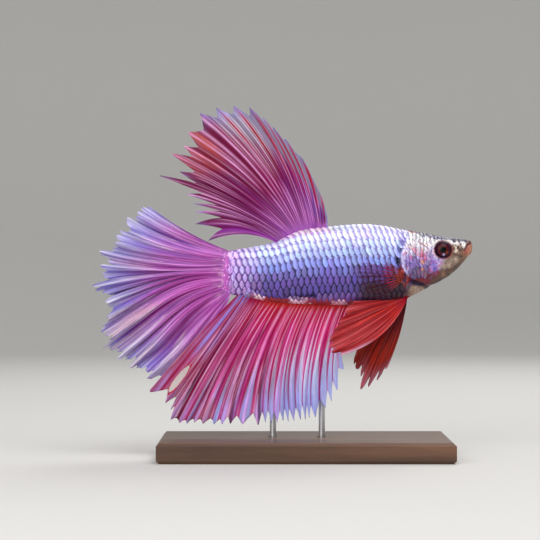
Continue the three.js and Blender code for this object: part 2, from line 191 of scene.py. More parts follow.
# ---- colour --------------------------------------------------------------------------------------
def to_linear(code):
    """Linear red, green and blue of an sRGB hex value."""
    values = [int(code[i : i + 2], 16) / 255 for i in (1, 3, 5)]
    return tuple(v / 12.92 if v <= 0.04045 else ((v + 0.055) / 1.055) ** 2.4 for v in values)


def colour(name, description, code):
    """A colour property; its value is given as sRGB hex."""
    return bpy.props.FloatVectorProperty(
        name=name, description=description, subtype="COLOR", size=3, min=0, max=1, default=to_linear(code)
    )


def length(name, description, millimetres):
    """A length property, stored in metres."""
    return bpy.props.FloatProperty(
        name=name, description=description, unit="LENGTH", min=0, precision=5, default=millimetres * MM
    )


def watts(name, description, value):
    """The power of a light."""
    return bpy.props.FloatProperty(name=name, description=description, unit="POWER", min=0, default=value)


class BettaBodyLook(bpy.types.PropertyGroup):
    coat_depth: length("Coat depth", "How far the skin lies under the tops of the scales", 0.2)
    scale_pitch: length("Scale pitch", "Distance from one scale to the next along the body", 1.19)
    back: colour("Back", "Scales along the back", "#CCC9E2")
    upper: colour("Upper flank", "Scales above the middle of the flank", "#AFBDF6")
    middle: colour("Flank", "Scales in the middle of the flank", "#8C96EA")
    lower: colour("Lower flank", "Scales below the middle of the flank", "#544094")
    # The seam colours are partly pigment and partly painted shade in the gaps between the scales.
    seam: colour("Seams", "Dark lines between the scales of the lower flank", "#1A0F4C")
    seam_high: colour("High seams", "Lines between the scales of the back", "#8E84CE")
    belly: colour("Belly", "Bare red skin along the root of the anal fin", "#9E343E")
    snout: colour("Snout", "Bare skin of the snout and jaws", "#5E4132")


class BettaFinLook(bpy.types.PropertyGroup):
    web: length("Web thickness", "Thickness of the web between the rays", 0.13)
    ray: length("Ray rise", "How far a ray stands out of the web on each side", 0.09)
    orchid: colour("Orchid", "Main colour of the tail fin", "#AE5AD0")
    magenta: colour("Magenta", "Main colour of the dorsal fin", "#8E2278")
    rose: colour("Rose", "Main colour of the anal fin", "#E0487A")
    scarlet: colour("Scarlet", "Main colour of the pelvic fins", "#DC3C28")
    tip: colour("Tips", "Pale blue edge of the fins", "#A4B0F2")


class BettaStageLook(bpy.types.PropertyGroup):
    floor: colour("Floor", "Floor and backdrop", "#D8D6D2")
    key: watts("Key light", "Power of the large light above", 1.95)
    fill: watts("Fill light", "Power of the light beside the camera", 1.75)
    rim: watts("Rim light", "Power of the light behind the fish", 0.8)


# Smaller touches of colour, as sRGB hex values.
TOUCHES = {
    name: np.array(to_linear(code))
    for name, code in dict(
        white="#F7F2F4", cream="#EFE2D2", lavender="#C4B6EE", lilac="#C48CD6", violet="#7A58B8",
        deep_violet="#3A1A5A", slate="#34304E", ink="#0A070F", sky="#5C84E8", plum="#220A24",
        maroon="#4E0E1C", blood="#8E1826", brick="#B0402E", tangerine="#E08A3C", tan="#8E6A56",
        umber="#5C4238", blush="#E2889E", ring="#6A1E1C", salmon="#D89078", ember="#C04C3C", mist="#A9A4BC",
        slate_blue="#6A72CC", periwinkle="#8A92EA", ice="#C4CEF2", hot_pink="#E45A9C", candy="#EE92E0",
        wine="#6E1440", aubergine="#42144C", grape="#7A3CA8", fuchsia="#BC50B4", crimson="#B81C38",
    ).items()
}


def palette(look):
    """The colours of a property group together with the smaller touches, as arrays by name."""
    chosen = {
        name: np.array(getattr(look, name))
        for name, prop in look.bl_rna.properties.items()
        if getattr(prop, "array_length", 0) == 3
    }
    return SimpleNamespace(**TOUCHES, **chosen)


def smooth(low, high, value):
    """Rises softly from 0 at low to 1 at high."""
    s = np.clip((value - low) / (high - low), 0, 1)
    return s * s * (3 - 2 * s)


def fall(low, high, value):
    """Falls softly from 1 at low to 0 at high."""
    return 1 - smooth(low, high, value)


def hill(value, a, b, c, d):
    """Rises softly from 0 at a to 1 at b, and falls back from 1 at c to 0 at d."""
    return smooth(a, b, value) * fall(c, d, value)


def bell(value, width):
    """1 where the value is 0, fading on both sides."""
    return np.exp(-((value / width) ** 2))


def mix(under, over, mask):
    """One colour over another, as far as the mask goes from 0 to 1."""
    mask = np.clip(mask, 0, 1)[..., None]
    return under * (1 - mask) + over * mask


class Paint:
    """A colour at each point, over which further colours are laid."""

    def __init__(self, base):
        self.colour = base

    def lay(self, over, mask):
        self.colour = mix(self.colour, over, mask)

    def dim(self, amount):
        self.colour = self.colour * amount[..., None]


def ramp(value, *stops):
    """Colour at each value, from (place, colour) stops."""
    places = [stop[0] for stop in stops]
    colours = np.array([stop[1] for stop in stops])
    return np.stack([np.interp(value, places, colours[:, k]) for k in range(3)], -1)


def cloud(a, b, seed):
    """Smooth random values from 0 to 1 over a plane, with one lump to a unit; repeats after 64 units."""
    size = 64
    grid = np.random.default_rng(seed).random((size, size))
    i, j = np.floor(a).astype(int), np.floor(b).astype(int)
    s, t = smooth(0, 1, a - i), smooth(0, 1, b - j)

    def row(k):
        return grid[i % size, k % size] * (1 - s) + grid[(i + 1) % size, k % size] * s

    return row(j) * (1 - t) + row(j + 1) * t


# ---- the body's shape ----------------------------------------------------------------------------
def along(table, column, t):
    """A column of a table at t, on a smooth curve through its rows. Column 0 is the place."""
    table = np.asarray(table, float)
    places, values = table[:, 0], table[:, column]
    last = len(places) - 1
    rows = np.arange(last + 1)
    before, after = np.maximum(rows - 1, 0), np.minimum(rows + 1, last)
    slopes = (values[after] - values[before]) / (places[after] - places[before])
    at = np.clip(t, places[0], places[-1])
    k = np.clip(np.searchsorted(places, at, side="right") - 1, 0, last - 1)
    span = places[k + 1] - places[k]
    s = (at - places[k]) / span
    leave = span * slopes[k] * s * (1 - s) ** 2
    arrive = span * slopes[k + 1] * s * s * (s - 1)
    return values[k] + (values[k + 1] - values[k]) * s * s * (3 - 2 * s) + leave + arrive


def section(x):
    """Height of the back, height of the belly and half width at x."""
    q = np.sqrt(np.maximum(SNOUT_X - x, 0) / BODY_LENGTH)
    thin = 1 - TAIL_THINNING * smooth(SNOUT_X - BODY_LENGTH, TAIL_END_X, x)
    return along(ROUNDED, 1, q), along(ROUNDED, 2, q), along(ROUNDED, 3, q) * thin


def power(value):
    """Bends a sine or cosine, so that a section has flatter flanks than an ellipse."""
    return np.sign(value) * np.abs(value) ** (2 / FLANK_POWER)


def body_point(x, turn, extra=0.0):
    """A point of the body at x and an angle round its section, grown outwards by extra."""
    back, belly, half = section(x)
    extra = extra * smooth(0, 0.9, half + 0.3)
    y = (half + extra) * power(np.cos(turn))
    z = (back + belly) / 2 + ((back - belly) / 2 + extra) * power(np.sin(turn))
    return np.stack([x + 0 * y, y, z], -1)


def back_at(x):
    return section(np.asarray(x, float))[0]


def belly_at(x):
    return section(np.asarray(x, float))[1]


def flank_at(x, z):
    """Half width of the body at x and height z."""
    back, belly, half = section(np.asarray(x, float))
    level = np.abs((2 * z - back - belly) / (back - belly))
    return half * (1 - np.minimum(level, 1) ** FLANK_POWER) ** (1 / FLANK_POWER)


def arc_table(stations, steps=181, marks=101):
    """Angles that part each half section from belly to back into even lengths, and those lengths."""
    turns = np.linspace(-np.pi / 2, np.pi / 2, steps)
    points = body_point(np.repeat(stations[:, None], steps, 1), np.repeat(turns[None], len(stations), 0))
    run = np.cumsum(np.linalg.norm(np.diff(points, axis=1), axis=2), axis=1)
    run = np.concatenate([np.zeros((len(stations), 1)), run], 1)
    even = np.linspace(0, 1, marks)
    table = np.array([np.interp(even, row / row[-1], turns) for row in run])
    return table, run[:, -1]


STATIONS = np.linspace(TAIL_END_X, SNOUT_X - 0.4, 120)
ARC_TURNS, HALF_GIRTHS = arc_table(STATIONS)


def half_girth(x):
    """Length of the section's outline at x, from belly to back."""
    return np.interp(x, STATIONS, HALF_GIRTHS)


def coat_point(x, around, extra):
    """A point on the body; around runs from 0 at the belly up the right side to 1 at the back, and down
    the left side to 2."""
    wrapped = np.mod(around, 2)
    side = np.where(wrapped <= 1, -1.0, 1.0)
    level = np.where(wrapped <= 1, wrapped, 2 - wrapped) * (ARC_TURNS.shape[1] - 1)
    place = np.interp(x, STATIONS, np.arange(len(STATIONS)))
    i = np.minimum(place.astype(int), len(STATIONS) - 2)
    j = np.minimum(level.astype(int), ARC_TURNS.shape[1] - 2)
    s, t = place - i, level - j
    low = ARC_TURNS[i, j] * (1 - s) + ARC_TURNS[i + 1, j] * s
    high = ARC_TURNS[i, j + 1] * (1 - s) + ARC_TURNS[i + 1, j + 1] * s
    point = body_point(np.clip(x, TAIL_END_X, SNOUT_X), low * (1 - t) + high * t, extra)
    point[..., 1] *= side
    return point


def fine_line(points, steps=24):
    """A smooth line through a few points of the side view."""
    rows = [(i, *point) for i, point in enumerate(points)]
    t = np.linspace(0, len(points) - 1, steps)
    return np.stack([along(rows, 1, t), along(rows, 2, t)], -1)


def line_gap(x, z, points):
    """Distance from a line in the side view, above 0 on the left of its way, and how far along it."""
    line = fine_line(points)
    best = np.full(np.shape(x), 1e9)
    signed, run = np.zeros(np.shape(x)), np.zeros(np.shape(x))
    for k in range(len(line) - 1):
        (ax, az), (bx, bz) = line[k], line[k + 1]
        dx, dz = bx - ax, bz - az
        t = np.clip(((x - ax) * dx + (z - az) * dz) / (dx * dx + dz * dz), 0, 1)
        gap = np.hypot(x - ax - t * dx, z - az - t * dz)
        near = gap < best
        cross = dx * (z - az) - dz * (x - ax)
        best = np.where(near, gap, best)
        signed = np.where(near, np.where(cross >= 0, gap, -gap), signed)
        run = np.where(near, (k + t) / (len(line) - 1), run)
    return signed, run


def spot(x, z, cx, cz, rx, rz, tilt=0.0):
    """A soft round patch in the side view, 1 in the middle and 0 from its edge on."""
    c, s = math.cos(math.radians(tilt)), math.sin(math.radians(tilt))
    a, b = ((x - cx) * c + (z - cz) * s) / rx, ((z - cz) * c - (x - cx) * s) / rz
    return fall(0.5, 1.0, np.hypot(a, b))


def pectoral_knob(x, z):
    """Distance from the middle of the fleshy knob that the pectoral fin grows from."""
    return np.hypot(x - PECTORAL_ROOT["x"] - 0.4, (z - PECTORAL_ROOT["z"]) * 0.8)


def relief(x, z):
    """How far the face's features stand out of the plain body, in the side view."""
    height = 0 * x
    gill, run = line_gap(x, z, GILL_EDGE)
    edge = hill(run, 0.02, 0.12, 0.9, 1.0)
    cover = hill(gill, -0.05, 0.2, 1.2, 4.5)
    height += edge * (0.24 * cover - 0.38 * bell(gill + 0.4, 0.35))
    cheek, run = line_gap(x, z, CHEEK_EDGE)
    height += -0.13 * bell(cheek, 0.22) + 0.08 * bell(cheek - 0.5, 0.4) * smooth(0, 0.1, run)
    jaw, jaw_run = line_gap(x, z, JAW_EDGE)
    height += -0.2 * bell(jaw, 0.22) * smooth(0.15, 0.4, jaw_run)
    eye = np.hypot(x - EYE["x"], z - EYE["z"])
    height += 0.2 * bell(eye - 2.05, 0.28) - 0.9 * fall(1.25, 1.8, eye)
    mouth, run = line_gap(x, z, MOUTH_SLIT)
    fade = fall(0.86, 1.0, run)
    height += fade * (0.07 * bell(np.abs(mouth) - 0.35, 0.2) - 0.13 * bell(mouth, 0.15))
    lip, _ = line_gap(x, z, LIP_FOLD)
    height += 0.14 * bell(lip - 0.2, 0.35) - 0.12 * bell(lip + 0.35, 0.18)
    for cx, cz, size in NOSTRILS:
        nostril = np.hypot(x - cx, z - cz)
        height += 0.1 * bell(nostril - 1.7 * size, 0.16) - 0.35 * bell(nostril, size)
    height += 0.3 * bell(pectoral_knob(x, z), 0.95)
    lumpy = hill(x, 19.5, 22, 30, 33)
    height += 0.07 * lumpy * (cloud(x * 1.3 + 9, z * 1.3 + 5, 3) - 0.5)
    return height


# ---- colours of the body -------------------------------------------------------------------------
def head_share(x, z):
    """1 on the head, 0 on the scaled body."""
    gill, _ = line_gap(x, z, GILL_EDGE)
    low = smooth(19.5, 21.5, x) * fall(34.0, 35.0, z)
    side = smooth(-0.1, 0.1, gill) * smooth(34.2, 34.8, z)
    return np.clip(low + side, 0, 1) * smooth(17.5, 19, x)


def paint_scales(x, z, c):
    """Colours of the scales and of the seams between them. The seams' darkness is partly pigment,
    partly painted shade in the gaps between the scales.
    """
    drop = np.interp(x, (-16, -12, -5, 6, 20), (1.5, 1.9, 1.3, 0.6, 0.4))  # lower marks at the stalk
    level = z + drop
    wave = 0.7 * (cloud(x * 0.6, z * 0.6, 11) - 0.5)
    core = Paint(ramp(
        level + wave,
        (31.4, mix(c.lower, c.lilac, 0.45)),
        (33.0, c.lower * 0.9),
        (34.6, c.lower),
        (37.0, mix(c.lower, c.violet, 0.35)),
        (38.4, mix(c.middle, c.lower, 0.4)),
        (39.6, c.middle),
        (42.0, c.upper),
        (44.4, mix(c.back, c.upper, 0.45)),
        (46.0, c.back),
    ))
    seam = Paint(ramp(
        level,
        (31.0, c.violet),
        (33.0, c.seam),
        (37.5, c.seam),
        (40.0, mix(c.seam, c.seam_high, 0.45)),
        (43.5, c.seam_high),
        (46.0, mix(c.seam_high, c.lavender, 0.6)),
    ))
    stalk = fall(-13.5, -7.0, x)
    speck = smooth(0.45, 0.75, cloud(x * 1.9, z * 1.9, 13))
    core.lay(mix(c.lilac, c.lavender, 0.2 + 0.6 * speck), stalk * 0.7)
    seam.lay(c.grape, stalk * 0.6)
    root = fall(-16.0, -14.0, x)
    core.lay(mix(c.fuchsia, c.candy, 0.25 + 0.75 * speck), root * 0.8)
    seam.lay(c.fuchsia, root * 0.9)
    # The belly is red, with patches of small pearly scales.
    patch = cloud(x * 1.7, z * 1.7, 15)
    pearl = bell(x + 9, 1.2) + bell(x + 1.5, 2.4) + bell(x - 7.3, 1.9)
    pearl = smooth(0.4, 0.75, pearl + 0.6 * (patch - 0.5))
    above = z - belly_at(x)
    low = fall(0.75, 1.25, above) * smooth(-11.5, -9.5, x)
    core.lay(mix(c.belly, mix(c.candy, c.white, 0.55), pearl), low)
    seam.lay(mix(c.belly, c.crimson, 0.5), fall(0.75, 1.2, above) * smooth(-11.5, -9.5, x))
    # Painted shade darkens the flank under the pectoral fin in dark maroon; it is plum-coloured behind the
    # throat.
    dark = spot(x, z, 16.0, 33.3, 7.6, 4.8, 8)
    core.lay(mix(c.maroon, c.aubergine, 0.3 + 0.4 * smooth(0.4, 0.7, patch)) * 0.4, dark * 0.97)
    seam.lay(c.aubergine * 0.3, dark)
    glow = spot(x, z, 13.8, 37.0, 5.4, 2.2, -8)
    core.lay(mix(c.violet, c.deep_violet, 0.55), glow * 0.8)
    seam.lay(c.plum, glow * 0.8)
    pink = fall(0.1, 1.2, back_at(x) - z) * fall(4.2, 5.5, x) * smooth(-8, -6, x)  # under the dorsal fin
    core.lay(mix(c.candy, c.white, 0.6) * 0.9, pink * 0.7)
    seam.lay(c.fuchsia, pink * 0.7)
    return core.colour, seam.colour


def paint_head(x, z, c):
    """Colours of the head, from the bare snout to the gill cover."""
    blotch = cloud(x * 1.5, z * 1.5, 23)
    fleck = cloud(x * 3.1 + 7, z * 3.1, 24)
    skin = Paint(c.snout + 0 * x[..., None])

    def patch(over, cx, cz, rx, rz, tilt=0.0, share=1.0):
        skin.lay(over, spot(x, z, cx, cz, rx, rz, tilt) * share)

    skin.lay(c.tan, 0.7 * smooth(0.35, 0.7, cloud(x * 1.2, z * 1.2, 21)))
    skin.lay(c.umber, 0.7 * smooth(0.6, 0.75, cloud(x * 2.2 + 3, z * 2.2, 22)))
    patch(mix(c.tan, c.cream, 0.35 * fleck), 22.2, 32.9, 3.4, 2.2, 24, 0.5 + 0.5 * blotch)  # throat
    # Cheek and gill cover: violet below, near white above, white over the nostrils and tan at the jowl.
    face = fall(0.76, 1.0, np.hypot((x - 22.6) / 6.0, (z - 41.2) / 6.2))
    fair = smooth(38.2, 42.6, z + 2.2 * (blotch - 0.5))
    skin.lay(mix(mix(c.lavender, c.violet, 0.3), c.white * 0.76, fair), face)
    nose = np.maximum(spot(x, z, 29.4, 43.5, 3.4, 1.3, -4), spot(x, z, 31.5, 42.9, 0.6, 1.5, 12))
    skin.lay(c.white, nose * (0.6 + 0.4 * blotch))
    jowl = mix(c.tan, c.cream, 0.15 + 0.6 * fleck) * 0.9
    patch(jowl, 28.6, 38.9, 2.9, 1.4, 22, 0.2 + 0.6 * blotch)
    patch(c.cream, 30.2, 41.6, 0.9, 1.3, 0, 0.7 * smooth(0.3, 0.6, fleck))
    patch(c.violet * 0.8, 21.6, 37.6, 3.6, 3.6, 0, 0.9 * smooth(0.3, 0.6, blotch))
    patch(c.grape * 0.4, 22.4, 36.4, 3.3, 2.2, -8, 0.7 + 0.3 * fleck)
    patch(c.violet, 25.2, 38.6, 1.3, 2.8, 20, 0.35 + 0.5 * blotch)
    patch(c.sky, 25.7, 37.7, 0.6, 1.3, 30, 0.6)
    # Dark and red flecks are strewn over the cheek and the gill cover.
    strewn = face * smooth(44.6, 43.6, z)
    skin.lay(c.violet * 0.8, smooth(0.58, 0.75, cloud(x * 2.3, z * 2.3 + 4, 25)) * strewn * 0.6)
    red = mix(c.fuchsia, c.crimson, 0.6)
    skin.lay(red, smooth(0.66, 0.8, fleck) * strewn * smooth(43.5, 40.5, z) * 0.65)
    skin.lay(c.plum, smooth(0.72, 0.85, 1 - fleck) * strewn * smooth(43.0, 39.0, z) * 0.6)
    # The gill cover has a pale rim, and the cheek's edge is a broken red line with a pale one behind.
    gill, run = line_gap(x, z, GILL_EDGE)
    rim = bell(gill - 0.35, 0.32) * hill(run, 0.12, 0.3, 0.6, 0.75)
    skin.lay(mix(c.lavender, c.ice, 0.5), rim * 0.8)
    cheek, run = line_gap(x, z, CHEEK_EDGE)
    streak = bell(cheek, 0.2) * smooth(0, 0.15, run) * smooth(0.2, 0.5, cloud(x * 2.6, z * 2.6, 26))
    skin.lay(c.crimson, streak * 0.8)
    skin.lay(c.candy, bell(cheek - 0.55, 0.25) * smooth(0.3, 0.5, run) * 0.4 * fleck)
    for cx, cz, size in TANGERINE_SPOTS:
        patch(c.tangerine, cx, cz, size, size * 1.3, 20, 0.45 + 0.5 * fleck)
    patch(c.cream, 23.5, 38.2, 0.4, 0.5, 0, 0.8)
    # The gill cover's lower corner is dark red, above the black line of the jaw, which is the gill
    # membrane's black margin with painted shade under the jaw.
    for mark in ((25.4, 36.3, 1.5, 0.9), (24.3, 36.0, 0.8, 1.0), (26.4, 37.0, 0.5, 0.7)):
        patch(mix(c.maroon, c.blood, 0.6), *mark, 25, 0.85 * smooth(0.3, 0.6, fleck))
    skin.dim(1 - 0.42 * spot(x, z, 22.8, 36.6, 3.8, 2.3, -8))
    patch(mix(c.maroon, c.crimson, 0.3 * blotch), 23.0, 35.1, 3.2, 1.1, -6)
    # Black line and blob along the jaw: the membrane's black margin and painted shade under the jaw.
    jaw, run = line_gap(x, z, JAW_EDGE)
    skin.lay(c.ink, bell(jaw, 0.5) * (0.4 + 0.6 * hill(run, 0.05, 0.5, 0.9, 1.0)))
    patch(c.ink, 24.9, 34.0, 1.5, 0.9, 8)
    # A dark crown, red where it meets the nape; a ring round the eye; dark flecks on the snout,
    # and painted shade in the nostrils.
    crown, run = line_gap(x, z, CROWN_LINE)
    top = smooth(-0.3, 0.05, crown + 0.25 * (blotch - 0.5))
    skin.lay(mix(c.slate, c.ink, 0.5 * fleck), top * fall(0.9, 1.0, run) * 0.9)
    patch(c.blood, 21.6, 45.2, 2.0, 0.5, -10, 0.9 * smooth(0.3, 0.55, fleck))
    eye = np.hypot(x - EYE["x"] - 0.1, z - EYE["z"])
    skin.lay(c.ring, bell(eye - 1.72, 0.2))
    for cx, cz, size in SNOUT_SPOTS:
        patch(c.slate * 0.5, cx, cz, size * 1.3, size, 0, 0.9)
    patch(mix(c.salmon, c.tan, 0.5), 33.1, 41.4, 1.3, 2.0, -14, 0.85)  # lips
    # Painted shade in the slit between the lips, in maroon, and a brick-red lip edge beside it.
    mouth, run = line_gap(x, z, MOUTH_SLIT)
    skin.lay(c.maroon, bell(mouth, 0.24) * hill(run, 0.12, 0.3, 0.9, 1.0))
    skin.lay(c.brick, bell(mouth - 0.4, 0.25) * smooth(0.4, 0.8, run) * 0.6)
    return skin.colour


def paint_skin(x, z, c):
    """Colour of the bare skin everywhere: what shows between the scales, dark with the seams' painted
    shade, and the head.
    """
    skin = Paint(paint_scales(x, z, c)[1])
    # Behind the gill cover lies a slot, painted black as shade under the cover's edge, with blue streaks.
    gap, run = line_gap(x, z, GILL_EDGE)
    slot = bell(gap + 0.55, 0.6) * hill(run, 0.2, 0.35, 0.72, 0.85)
    skin.lay(c.ink, slot)
    streak = smooth(0.45, 0.7, cloud(x * 2.2 - z * 1.6, z * 0.6 + x * 0.5, 31))
    skin.lay(c.sky, slot * streak * 0.7)
    skin.lay(paint_head(x, z, c), head_share(x, z))
    knob = pectoral_knob(x, z)
    skin.lay(mix(c.blood, c.maroon, 0.3), fall(1.2, 2.4, knob))
    skin.lay(mix(c.brick, c.blush, 0.25), fall(0.8, 1.4, knob))
    return skin.colour


# ---- meshes --------------------------------------------------------------------------------------
def coordinates(mesh):
    """A mesh's vertices, one to a row."""
    values = np.empty(len(mesh.vertices) * 3)
    mesh.vertices.foreach_get("co", values)
    return values.reshape(-1, 3)


def normals(mesh):
    values = np.empty(len(mesh.vertices) * 3, np.float32)
    mesh.vertex_normals.foreach_get("vector", values)
    return values.reshape(-1, 3).astype(float)


def place(mesh, points):
    """Moves a mesh's vertices to points given in millimetres."""
    mesh.vertices.foreach_set("co", (points * MM).ravel())
    mesh.update()


def store_colour(mesh, name, values):
    """A colour for each vertex."""
    layer = mesh.color_attributes.new(name, "FLOAT_COLOR", "POINT")
    values = np.clip(values, 0, 1)
    layer.data.foreach_set("color", np.concatenate([values, np.ones((len(values), 1))], 1).ravel())


def store_number(mesh, name, values):
    """A number for each vertex."""
    mesh.attributes.new(name, "FLOAT", "POINT").data.foreach_set("value", values.astype(np.float32))


def store_map(mesh, name, values):
    """A UV map whose value at a corner is the one given for its vertex."""
    corners = np.empty(len(mesh.loops), np.int32)
    mesh.loops.foreach_get("vertex_index", corners)
    mesh.uv_layers.new(name=name).uv.foreach_set("vector", values[corners].astype(np.float32).ravel())


def finish_mesh(bm, name):
    """Turns a bmesh into a mesh."""
    mesh = bpy.data.meshes.new(name)
    bm.to_mesh(mesh)
    bm.free()
    return mesh


def sheet(name, columns, rows):
    """A flat closed sheet, 1 wide, 1 long and 1 thick, round the middle of its top side."""
    bm = bmesh.new()
    bmesh.ops.create_grid(bm, x_segments=columns, y_segments=rows, size=0.5)
    bmesh.ops.solidify(bm, geom=bm.faces[:], thickness=1.0)
    return finish_mesh(bm, name)


def face_outwards(mesh):
    """Turns the faces of a closed mesh outwards once its vertices are in place."""
    bm = bmesh.new()
    bm.from_mesh(mesh)
    bmesh.ops.recalc_face_normals(bm, faces=bm.faces[:])
    bm.to_mesh(mesh)
    bm.free()


def add_piece(mesh, material, replaced):
    """Puts a finished mesh in the scene, on the body it rides on."""
    piece = bpy.data.objects.new(mesh.name, mesh)
    bpy.context.scene.collection.objects.link(piece)
    mesh.materials.append(material)
    mesh.shade_smooth()
    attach(piece, "root")
    if replaced:
        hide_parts(*replaced)
    return piece


# ---- fins ----------------------------------------------------------------------------------------
def straight_root(start, run, height):
    """A fin root along the body, from x = start over run millimetres."""
    return lambda fin, u: (start + run * u, height(start + run * u))


def tail_root(fin, u):
    """Down across the end of the tail stalk."""
    return -14.75 - 0.5 * np.sin(np.pi * u), 41.1 - 8.6 * u


def pelvic_root(fin, u):
    """Across the middle of the fin's own direction, just under the throat."""
    middle = math.radians((fin.rays[0][1] + fin.rays[-1][1]) / 2)
    off = PELVIC_ROOT["spread"] * (0.5 - u)
    height = belly_at(PELVIC_ROOT["x"]) + 0.1
    return PELVIC_ROOT["x"] + off * math.sin(middle), height - off * math.cos(middle)


def pectoral_root(fin, u):
    """Down the flank, just behind the gill cover."""
    return PECTORAL_ROOT["x"] + 0 * u, PECTORAL_ROOT["z"] + PECTORAL_ROOT["height"] * (0.5 - u)


def ray_place(fin, u):
    """Which ray lies at u, counted from the first; the rays stand unevenly, some close, some apart."""
    uneven = sum(size * np.sin(waves * np.pi * u) for size, waves in RAY_DRIFT)
    return np.interp(u + fin.uneven * uneven, *(fin.spread or ((0, 1), (0, fin.ray_count))))


def fold_place(fin, u, share):
    """Where u lies among a fin's folds, which are broader than its rays and drift across them."""
    uneven = 0.02 * np.sin(3 * np.pi * u + fin.seed) + 0.011 * np.sin(7 * np.pi * u)
    drift = cloud(u * fin.folds * 0.7, share * 1.6, fin.seed + 5) - 0.5
    return fin.folds * (u + fin.uneven * uneven) + 0.5 * drift


def fold_wave(fold, crest):
    """The depth of a fold: -1 on its ridge and 1 in the hollow, which lies at crest of the way."""
    part = fold - np.floor(fold)
    turn = np.where(part < crest, part / crest, 1 + (part - crest) / (1 - crest))
    return -np.cos(np.pi * turn)


def lobe_step(fin, u, share):
    """1 on the edge of each lobe that lies over its neighbour, falling to 0 at the next one's edge."""
    step = 0 * u
    for start, span in fin.lobes:
        slant = fin.slant * (1 + REAR_SLANT * (start - 0.5) ** 3)
        step = step + np.interp((u - start + slant * (1 - share)) / span, (-0.05, 0.0, 1.0), (0, 1, 0))
    return step * smooth(0.15, 0.6, share)


def fin_point(fin, u, far):
    """A point of a fin: u across its rays, far from the root towards the tip of that ray."""
    x, z = fin.root(fin, u)
    turn = np.radians(along(fin.rays, 1, u))
    size = along(fin.rays, 2, u)
    share = far / size
    out = np.maximum(share, 0)
    fade = np.minimum(1, 8 * np.minimum(u, 1 - u) + 0.2)
    number = ray_place(fin, u)
    wave = fold_wave(fold_place(fin, u, share), np.interp(u, *fin.crest))
    wave = np.interp(u, *fin.pleat) * out**RIPPLE_POWER * wave
    wave -= RAY_RIPPLE * np.cos(2 * np.pi * number) * out
    broad = 0 * u
    for k, (height, across, outwards) in enumerate(SWELLS, 1):
        broad = broad + height * np.sin(across * number + outwards * share + k * fin.seed)
    wave += fin.flutter * broad * out**SWELL_POWER - fin.overlap * lobe_step(fin, u, share) * out
    within = np.pi * np.clip(share, 0, 1)
    wander = WANDER * np.sin(1.3 * number + fin.seed) * np.sin(within) * np.minimum(1, size / 15)
    bow = 4 * along(fin.rays, 3, u) * share * (1 - share) * size + wander * fin.uneven * fade
    bow += np.interp(u, *fin.curl) * np.sin(2 * within) * size
    y = fin.level + fin.side * along(fin.rays, 4, u) * out**SWAY_POWER + wave * fade
    sin, cos = np.sin(turn), np.cos(turn)
    return np.stack([x + far * cos - bow * sin, y, z + far * sin + bow * cos], -1)


def ray_off(fin, u, share):
    """How far u lies from the nearest ray, in spacings of rays; the rays waver a little."""
    number = ray_place(fin, u)
    number = number + 0.16 * (cloud(number * 0.9, share * 2.2, fin.seed + 3) - 0.5) * share
    return number - np.round(number)


def ray_lines(fin, u, share):
    """1 on a ray or on a branch of it, 0 on the web between them."""
    branch = np.abs(ray_off(fin, u, share)) - fin.fork * smooth(0.28, 0.85, share)
    return bell(branch, fin.ray_width * (1 - 0.35 * share))


def fibres(fin, number, share, each, key):
    """How far a point lies from the nearest fine fibre, in spacings, and how bright that fibre is."""
    fibre = number * each + 0.35 * (cloud(number * 1.1, share * 2.4, fin.seed + key) - 0.5)
    nearest = np.round(fibre)
    return fibre - nearest, cloud(nearest, share * 1.8, fin.seed + key + 1)


def reach(fin, u):
    """How far the fin goes at u: full length at a ray's tip, less in the notch beside it."""
    tips = np.ones_like(u)
    off = np.abs(ray_off(fin, u, tips))
    notch = along(fin.rays, 5, u) * np.interp(u, *fin.jag) * 2 * off
    fray = fin.fray * np.minimum(1, np.abs(off - fin.fork) / 0.22)
    fray += 0.022 * cloud(ray_place(fin, u) * 1.7, 0 * u, 41) + fin.ragged * (1 - lobe_step(fin, u, tips))
    return along(fin.rays, 2, u) * (1 + fin.stretch - notch - fray)


def fin_fields(fin, u, share):
    """What the paint of a fin goes by, at each of its points."""
    number, fold = ray_place(fin, u), fold_place(fin, u, share)
    step = lobe_step(fin, u, share)

    def grain(across, out, key):
        return cloud(number * across, share * out, fin.seed + key)

    return SimpleNamespace(
        u=u,
        s=np.clip(share, 0, 1),
        off=ray_off(fin, u, share),
        fold=fold - np.round(fold),
        number=number,
        line=ray_lines(fin, u, share),
        step=step,
        under=lobe_step(fin, np.minimum(u + 0.012, 1), share) - step,
        broad=grain(0.6, 1.3, 1),
        grain=grain(5.0, 3.0, 0),
        thread=grain(4.2, 1.8, 2),
        hair=grain(9.0, 2.6, 4),
        coarse=fibres(fin, number, share, fin.fibres, 11),
        fine=fibres(fin, number, share, 2 * fin.fibres, 14),
    )


